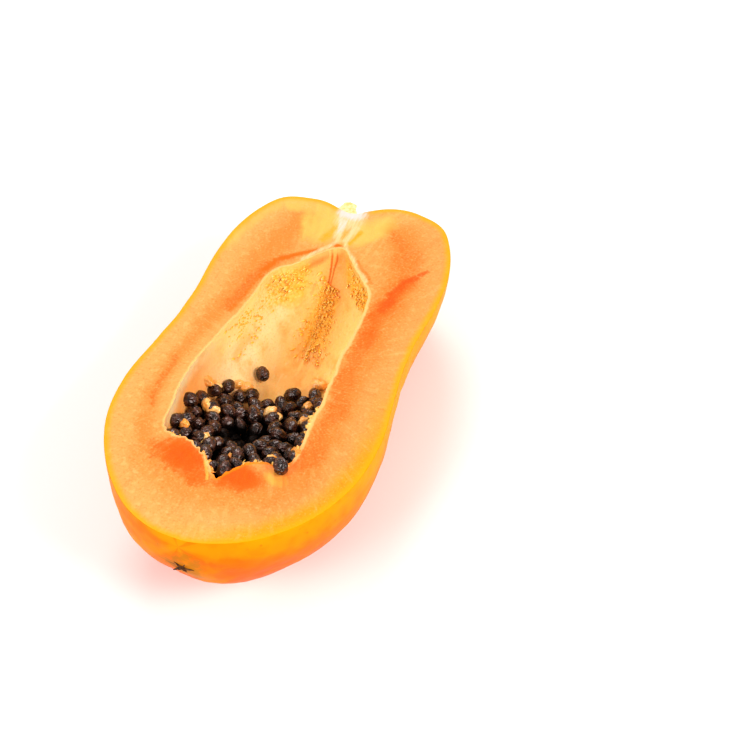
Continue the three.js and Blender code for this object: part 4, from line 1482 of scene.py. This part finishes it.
@dataclass
class PapillaeForm:
    """The papillae that the seeds hung on: along the walls, and down from the crease."""

    form: FruitForm
    lying: Lying
    length: float = 2.1
    radius: float = 0.45
    wall_bands: tuple[tuple[tuple[float, float], tuple[float, float], int], ...] = (
        ((-8, -27), (0.6, 13), 170),
        ((-16, -64), (0.8, 19), 150),
        ((2, 23), (0.6, 13), 140),
        ((15, 70), (0.4, 3), 60),
    )
    crease_x: float = -3.0
    crease_y: float = 79.0
    crease_run: float = 30.0
    under_crease: int = 300
    draw_seed: int = 3

    def model(self) -> bpy.types.Object:
        """One papilla: a small bent finger that stands up from the origin, in millimetres."""
        deselect()
        bpy.ops.mesh.primitive_uv_sphere_add(segments=8, ring_count=7, radius=1)
        piece = newest("papilla_model")
        ball = coordinates(piece)
        height = (ball[:, 2] + 1) / 2
        thick = 1 - 0.45 * height
        points = np.stack(
            [
                self.radius * ball[:, 0] * thick + 0.35 * height**2,
                self.radius * ball[:, 1] * thick,
                self.length * height - 0.35,
            ],
            axis=1,
        )
        set_coordinates(piece, points)
        mark_points(piece, Mark.TIP, height)
        return rounded(piece)

    def _by_depth(
        self, bearing_deg: tuple[float, float], depth: tuple[float, float], count: int, draw: Iterator[float]
    ) -> list[tuple[float, float]]:
        """Places on the steep wall, most of them midway between the bearings and near the first depth."""
        spots = []
        for _ in range(count):
            across = (next(draw) + next(draw)) / 2
            bearing = math.radians(bearing_deg[0] + (bearing_deg[1] - bearing_deg[0]) * across)
            deep = depth[0] + (depth[1] - depth[0]) * next(draw) ** 1.3
            share = float(self.form.share_at(deep))
            x, y, _ = self.form.lining(np.array([bearing]), np.array([share]))[0]
            spots.append((x, y))
        return spots

    def _spots(self, draw: Iterator[float]) -> list[tuple[float, float]]:
        """Places in plan: beside the edge on both sides, and under the crease."""
        spots = []
        for bearing_deg, depth, count in self.wall_bands:
            spots += self._by_depth(bearing_deg, depth, count, draw)
        for n in range(self.under_crease):
            along = ((n + next(draw)) / self.under_crease) ** 1.7
            aside = (next(draw) + next(draw) - 1) * (4.5 + 5 * along)
            spots.append((self.crease_x + 1.5 * along + aside, self.crease_y - self.crease_run * along))
        return spots

    def places(self) -> list[Matrix]:
        """Where each papilla stands and how it leans: away from the crease and down."""
        draw = drawn_from(self.draw_seed)
        made = []
        for x, y in self._spots(draw):
            if self.form.underfoot(x, y)[0] > 0.9985:
                continue
            place, out = self.form.lining_at(x, y)
            side = max(-1.0, min(1.0, (x - self.crease_x) / 4))
            lean = Vector((side + next(draw) - 0.5, next(draw) - 1.5, next(draw) - 0.4)) * 1.6
            made.append(standing(self.lying, place, (out + lean).normalized(), (0.6, 0.8), draw))
        return made

    def make(self) -> None:
        """Builds and dresses them as one piece."""
        piece = copies("lining_papillae", [self.model()], self.places(), bpy.context.scene.collection)
        piece.data.materials.append(PapillaFinish().make())
        settle(piece)


@dataclass
class TornShreds:
    """Shreds of the torn lining along the cavity's lower edge, where the seeds lay against it."""

    form: FruitForm
    lying: Lying
    length: float = 2.6
    width: float = 1.9
    thickness: float = 0.5
    variants: int = 5
    stretches_deg: tuple[tuple[float, float, int], ...] = (
        (118, 152, 22), (157, 172, 13), (181, 190, 7), (200, 214, 6),
    )
    draw_seed: int = 33

    def model(self, variant: int) -> bpy.types.Object:
        """One shred: a crumpled flap that stands up from the origin, in millimetres."""
        deselect()
        bpy.ops.mesh.primitive_uv_sphere_add(segments=14, ring_count=11, radius=1)
        piece = newest("shred_model")
        ball = coordinates(piece)
        height = (ball[:, 2] + 1) / 2
        crumple = rough(ball + 5 * (variant + 1), 0.8, 2)
        points = np.stack(
            [
                self.width / 2 * ball[:, 0] * (1 - 0.3 * height) * (1 + 0.9 * crumple),
                self.thickness * ball[:, 1] * (1 + 0.6 * crumple) + 1.2 * height**2,
                self.length * height * (0.75 + 0.5 * crumple) - 0.7,
            ],
            axis=1,
        )
        set_coordinates(piece, points)
        return rounded(piece)

    def make(self) -> None:
        """Builds and dresses them as one piece."""
        draw = drawn_from(self.draw_seed)
        places = []
        for start, end, count in self.stretches_deg:
            for n in range(count):
                bearing = math.radians(start + (end - start) * (n + next(draw)) / count)
                share = float(self.form.share_at(0.2 + 2.2 * next(draw) ** 2))
                x, y, z = self.form.lining(np.array([bearing]), np.array([share]))[0]
                swing = bearing + 1.6 * (next(draw) - 0.5)
                way = Vector((-math.sin(swing), -math.cos(swing), 0.5 - 1.1 * next(draw))).normalized()
                places.append(standing(self.lying, Vector((x, y, z)), way, (0.45, 0.85), draw))
        models = [self.model(variant) for variant in range(self.variants)]
        piece = copies("torn_shreds", models, places, bpy.context.scene.collection)
        piece.data.materials.append(SHRED_FINISH.make())
        settle(piece)


@dataclass
class PaleSeeds:
    """Undeveloped seeds: some still held by the lining, some among the ripe ones."""

    form: FruitForm
    lying: Lying
    heap: SeedHeap
    length: float = 6.2
    width: float = 4.2
    variants: int = 4
    draw_seed: int = 21
    on_lining: tuple[tuple[float, float], ...] = (
        (-25.2, 14.5), (-27.1, 12.1), (-19.6, 23.2), (-17.0, 24.5), (7.0, 38.5), (9.6, 38.6),
    )
    on_heap: tuple[tuple[float, float], ...] = (
        (-22.0, 0.3), (-19.1, -0.8), (-1.8, 12.2), (2.1, 10.0), (9.9, 21.5), (13.3, 9.9),
        (-14.4, -19.8), (-12.8, -21.4), (-0.6, -24.2), (-23.4, -17.5), (20.3, -14.9), (13.7, -21.6),
    )

    def model(self, variant: int) -> bpy.types.Object:
        """One undeveloped seed, lumpy, along Y about the origin."""
        deselect()
        bpy.ops.mesh.primitive_ico_sphere_add(subdivisions=4, radius=1)
        piece = newest("pale_seed_model")
        ball = coordinates(piece)
        lumps = rough(ball + 9 * (variant + 1), 0.9, 2)[:, None]
        set_coordinates(piece, ball * (self.width / 2, self.length / 2, self.width / 2) * (1 + 0.3 * lumps))
        return rounded(piece)

    def make(self) -> None:
        """Builds and dresses them as one piece."""
        draw = drawn_from(self.draw_seed)
        places = []
        for i, (x, y) in enumerate(self.on_lining + self.on_heap):
            lining = i < len(self.on_lining)
            z = self.form.underfoot(x, y)[1] + 0.3 * self.width if lining else self.heap.top(x, y) + 1.2
            turn = Euler((math.radians(20), 0, math.radians(360 * next(draw)))).to_matrix().to_4x4()
            size = Matrix.Scale(0.75 + 0.35 * next(draw), 4)
            places.append(self.lying.matrix @ Matrix.Translation((x, y, z)) @ turn @ size)
        models = [self.model(variant) for variant in range(self.variants)]
        piece = copies("undeveloped_seeds", models, places, bpy.context.scene.collection)
        piece.data.materials.append(PALE_SEED_FINISH.make())
        settle(piece)


@dataclass
class StemStub:
    """The torn stub of the stem, halved with the fruit."""

    lying: Lying
    axis_x: float = -6.2
    profile: tuple[tuple[float, float], ...] = (
        (101.0, 3.2), (105.0, 4.4), (107.4, 4.3), (109.0, 3.3), (110.4, 2.8), (111.8, 2.4), (112.6, 1.2),
    )
    around: int = 64
    rings: int = 40
    below_cut: float = 0.12

    def make(self) -> None:
        """Builds and dresses it."""
        radius = SmoothCurve(list(self.profile))
        turn = np.arange(self.around) / self.around * 2 * math.pi
        rings = []
        for y in np.linspace(self.profile[0][0], self.profile[-1][0], self.rings):
            r = float(radius(y))
            x, z = r * np.cos(turn), r * np.sin(turn)
            ring = np.stack([self.axis_x + x, np.full_like(x, y), np.minimum(z, 0) - self.below_cut], 1)
            rings.append(ring)
        grid = np.array(rings)
        fibre = rough(grid.reshape(-1, 3) * (1, 0.25, 1), 0.8, 3).reshape(grid.shape[:2])
        out = grid - np.array([self.axis_x, 0, 0])
        out[..., 1] = 0
        out /= np.maximum(np.linalg.norm(out, axis=-1, keepdims=True), 1e-6)
        grid = grid + out * (0.3 * fibre)[..., None]
        tear = rough(grid[-1], 1.2, 2)
        rise = np.linspace(0, 1, self.rings)[:, None] ** 4
        grid[..., 1] += rise * 0.7 * tear[None]
        grid[0], grid[-1] = grid[0].mean(0), grid[-1].mean(0)
        piece, _, _ = RingBody("stem_stub_torn", list(grid), self.lying).make()
        piece.data.materials.append(PITH_FINISH.make())
        settle(piece, "stem_stub")
        smoothed(piece, 50)


@dataclass
class BlossomScar:
    """The dry star where the blossom sat."""

    form: FruitForm
    lying: Lying
    arms: int = 5
    reach: float = 6.6
    waist: float = 1.1
    height: float = 0.3
    sunk: float = 1.2
    dip_deg: float = 10.0

    def make(self) -> None:
        """Builds and dresses it."""
        deselect()
        bpy.ops.mesh.primitive_uv_sphere_add(segments=80, ring_count=24, radius=1)
        piece = newest("blossom_scar")
        ball = coordinates(piece)
        turn = np.arctan2(ball[:, 1], ball[:, 0])
        arm = np.abs(np.cos(self.arms * turn / 2 + 0.4 * np.sin(turn))) ** 22
        spread = np.hypot(ball[:, 0], ball[:, 1])
        length = 0.66 + 0.2 * np.sin(2 * turn - 0.5) + 0.16 * np.sin(3 * turn + 1)
        reach = self.waist + (self.reach * length - self.waist) * arm
        reach = reach * (1 + 0.35 * rough(ball * 2, 1.0, 2))
        crumple = 1 + 0.5 * rough(ball * (6, 6, 1), 1.0, 2)
        high = (self.height + self.sunk * 0.5) * ball[:, 2] * crumple * (1.15 - 0.85 * spread)
        points = np.stack([ball[:, 0] * reach, ball[:, 1] * reach, high], 1)
        dip = math.radians(self.dip_deg)
        end = np.array([0, -math.cos(dip), -math.sin(dip)])
        at = self.form.skin(end[None])[0]
        outward_turn = UP.rotation_difference(Vector(end)).to_matrix()
        points = points @ np.array(outward_turn).T + at
        set_coordinates(piece, self.lying.to_row(points))
        piece.data.materials.append(SCAR_FINISH.make())
        settle(outward(piece))
        smoothed(piece, 60)


# The stage


@dataclass(frozen=True)
class Lamp:
    """A soft square lamp that looks at the fruit; its place and width are in metres."""

    name: str
    spot: tuple[float, float, float]
    width: float
    watts: float

    def add(self) -> None:
        """Adds the lamp."""
        deselect()
        bpy.ops.object.light_add(type="AREA", location=self.spot)
        lamp = bpy.context.object
        lamp.name = self.name
        lamp.data.size = self.width
        lamp.data.energy = self.watts
        lamp.rotation_euler = (-Vector(self.spot)).to_track_quat("-Z", "Y").to_euler()


@dataclass
class Photographer:
    """The camera, where it stood for the photograph, and the soft light of the studio."""

    lying: Lying
    position: tuple[float, float, float] = (244.9, -510.8, 594.5)
    right: tuple[float, float, float] = (0.9364, 0.3506, -0.0118)
    up: tuple[float, float, float] = (-0.2446, 0.6766, 0.6946)
    back: tuple[float, float, float] = (0.2515, -0.6475, 0.7193)
    lens_mm: float = 105.6
    sensor_mm: float = 36.0
    lamps: tuple[Lamp, ...] = (
        Lamp("key_light", (0.9, -0.15, 0.8), 0.5, 8.8),
        Lamp("fill_light", (-0.5, -0.85, 0.85), 0.7, 7.4),
        Lamp("back_light", (-0.35, 0.8, 0.9), 0.5, 5.0),
    )
    floor_width: float = 8.0
    floor_colour: Colour = srgb(250, 248, 246)
    air_strength: float = 0.4

    def camera(self) -> None:
        """Adds the camera."""
        deselect()
        bpy.ops.object.camera_add()
        camera = bpy.context.object
        camera.data.lens = self.lens_mm
        camera.data.sensor_width = self.sensor_mm
        turn = self.lying.turn @ np.array([self.right, self.up, self.back]).T
        place = Matrix(turn.tolist()).to_4x4()
        place.translation = Vector(self.lying.to_row(np.array(self.position)))
        camera.matrix_world = place
        bpy.context.scene.camera = camera

    def studio(self) -> None:
        """Adds the floor, the lamps and the pale surroundings."""
        deselect()
        bpy.ops.mesh.primitive_plane_add(size=self.floor_width)
        floor = newest("studio_floor")
        g = Graph("pale_floor")
        floor.data.materials.append(g.finish(Base_Color=self.floor_colour, Roughness=0.7))
        for lamp in self.lamps:
            lamp.add()
        world = bpy.data.worlds.new("studio_air")
        world.use_nodes = True
        air = world.node_tree.nodes["Background"].inputs
        air["Color"].default_value = (1, 1, 1, 1)
        air["Strength"].default_value = self.air_strength
        bpy.context.scene.world = world
        bpy.context.scene.view_settings.view_transform = "Standard"
        bpy.context.scene.view_settings.look = "Medium High Contrast"


def main() -> None:
    """Builds the piece list in order."""
    logging.basicConfig(level=logging.INFO, format="%(message)s")
    form = FruitForm()
    lying = Lying(form)
    photographer = Photographer(lying)
    photographer.camera()
    photographer.studio()
    heap = SeedHeap(form, lying, SeedForm())
    for maker in (
        Half(form, lying),
        heap,
        PapillaeForm(form, lying),
        TornShreds(form, lying),
        PaleSeeds(form, lying, heap),
        StemStub(lying),
        BlossomScar(form, lying),
    ):
        maker.make()
        log.info("%s made", type(maker).__name__)


if __name__ == "__main__":
    main()
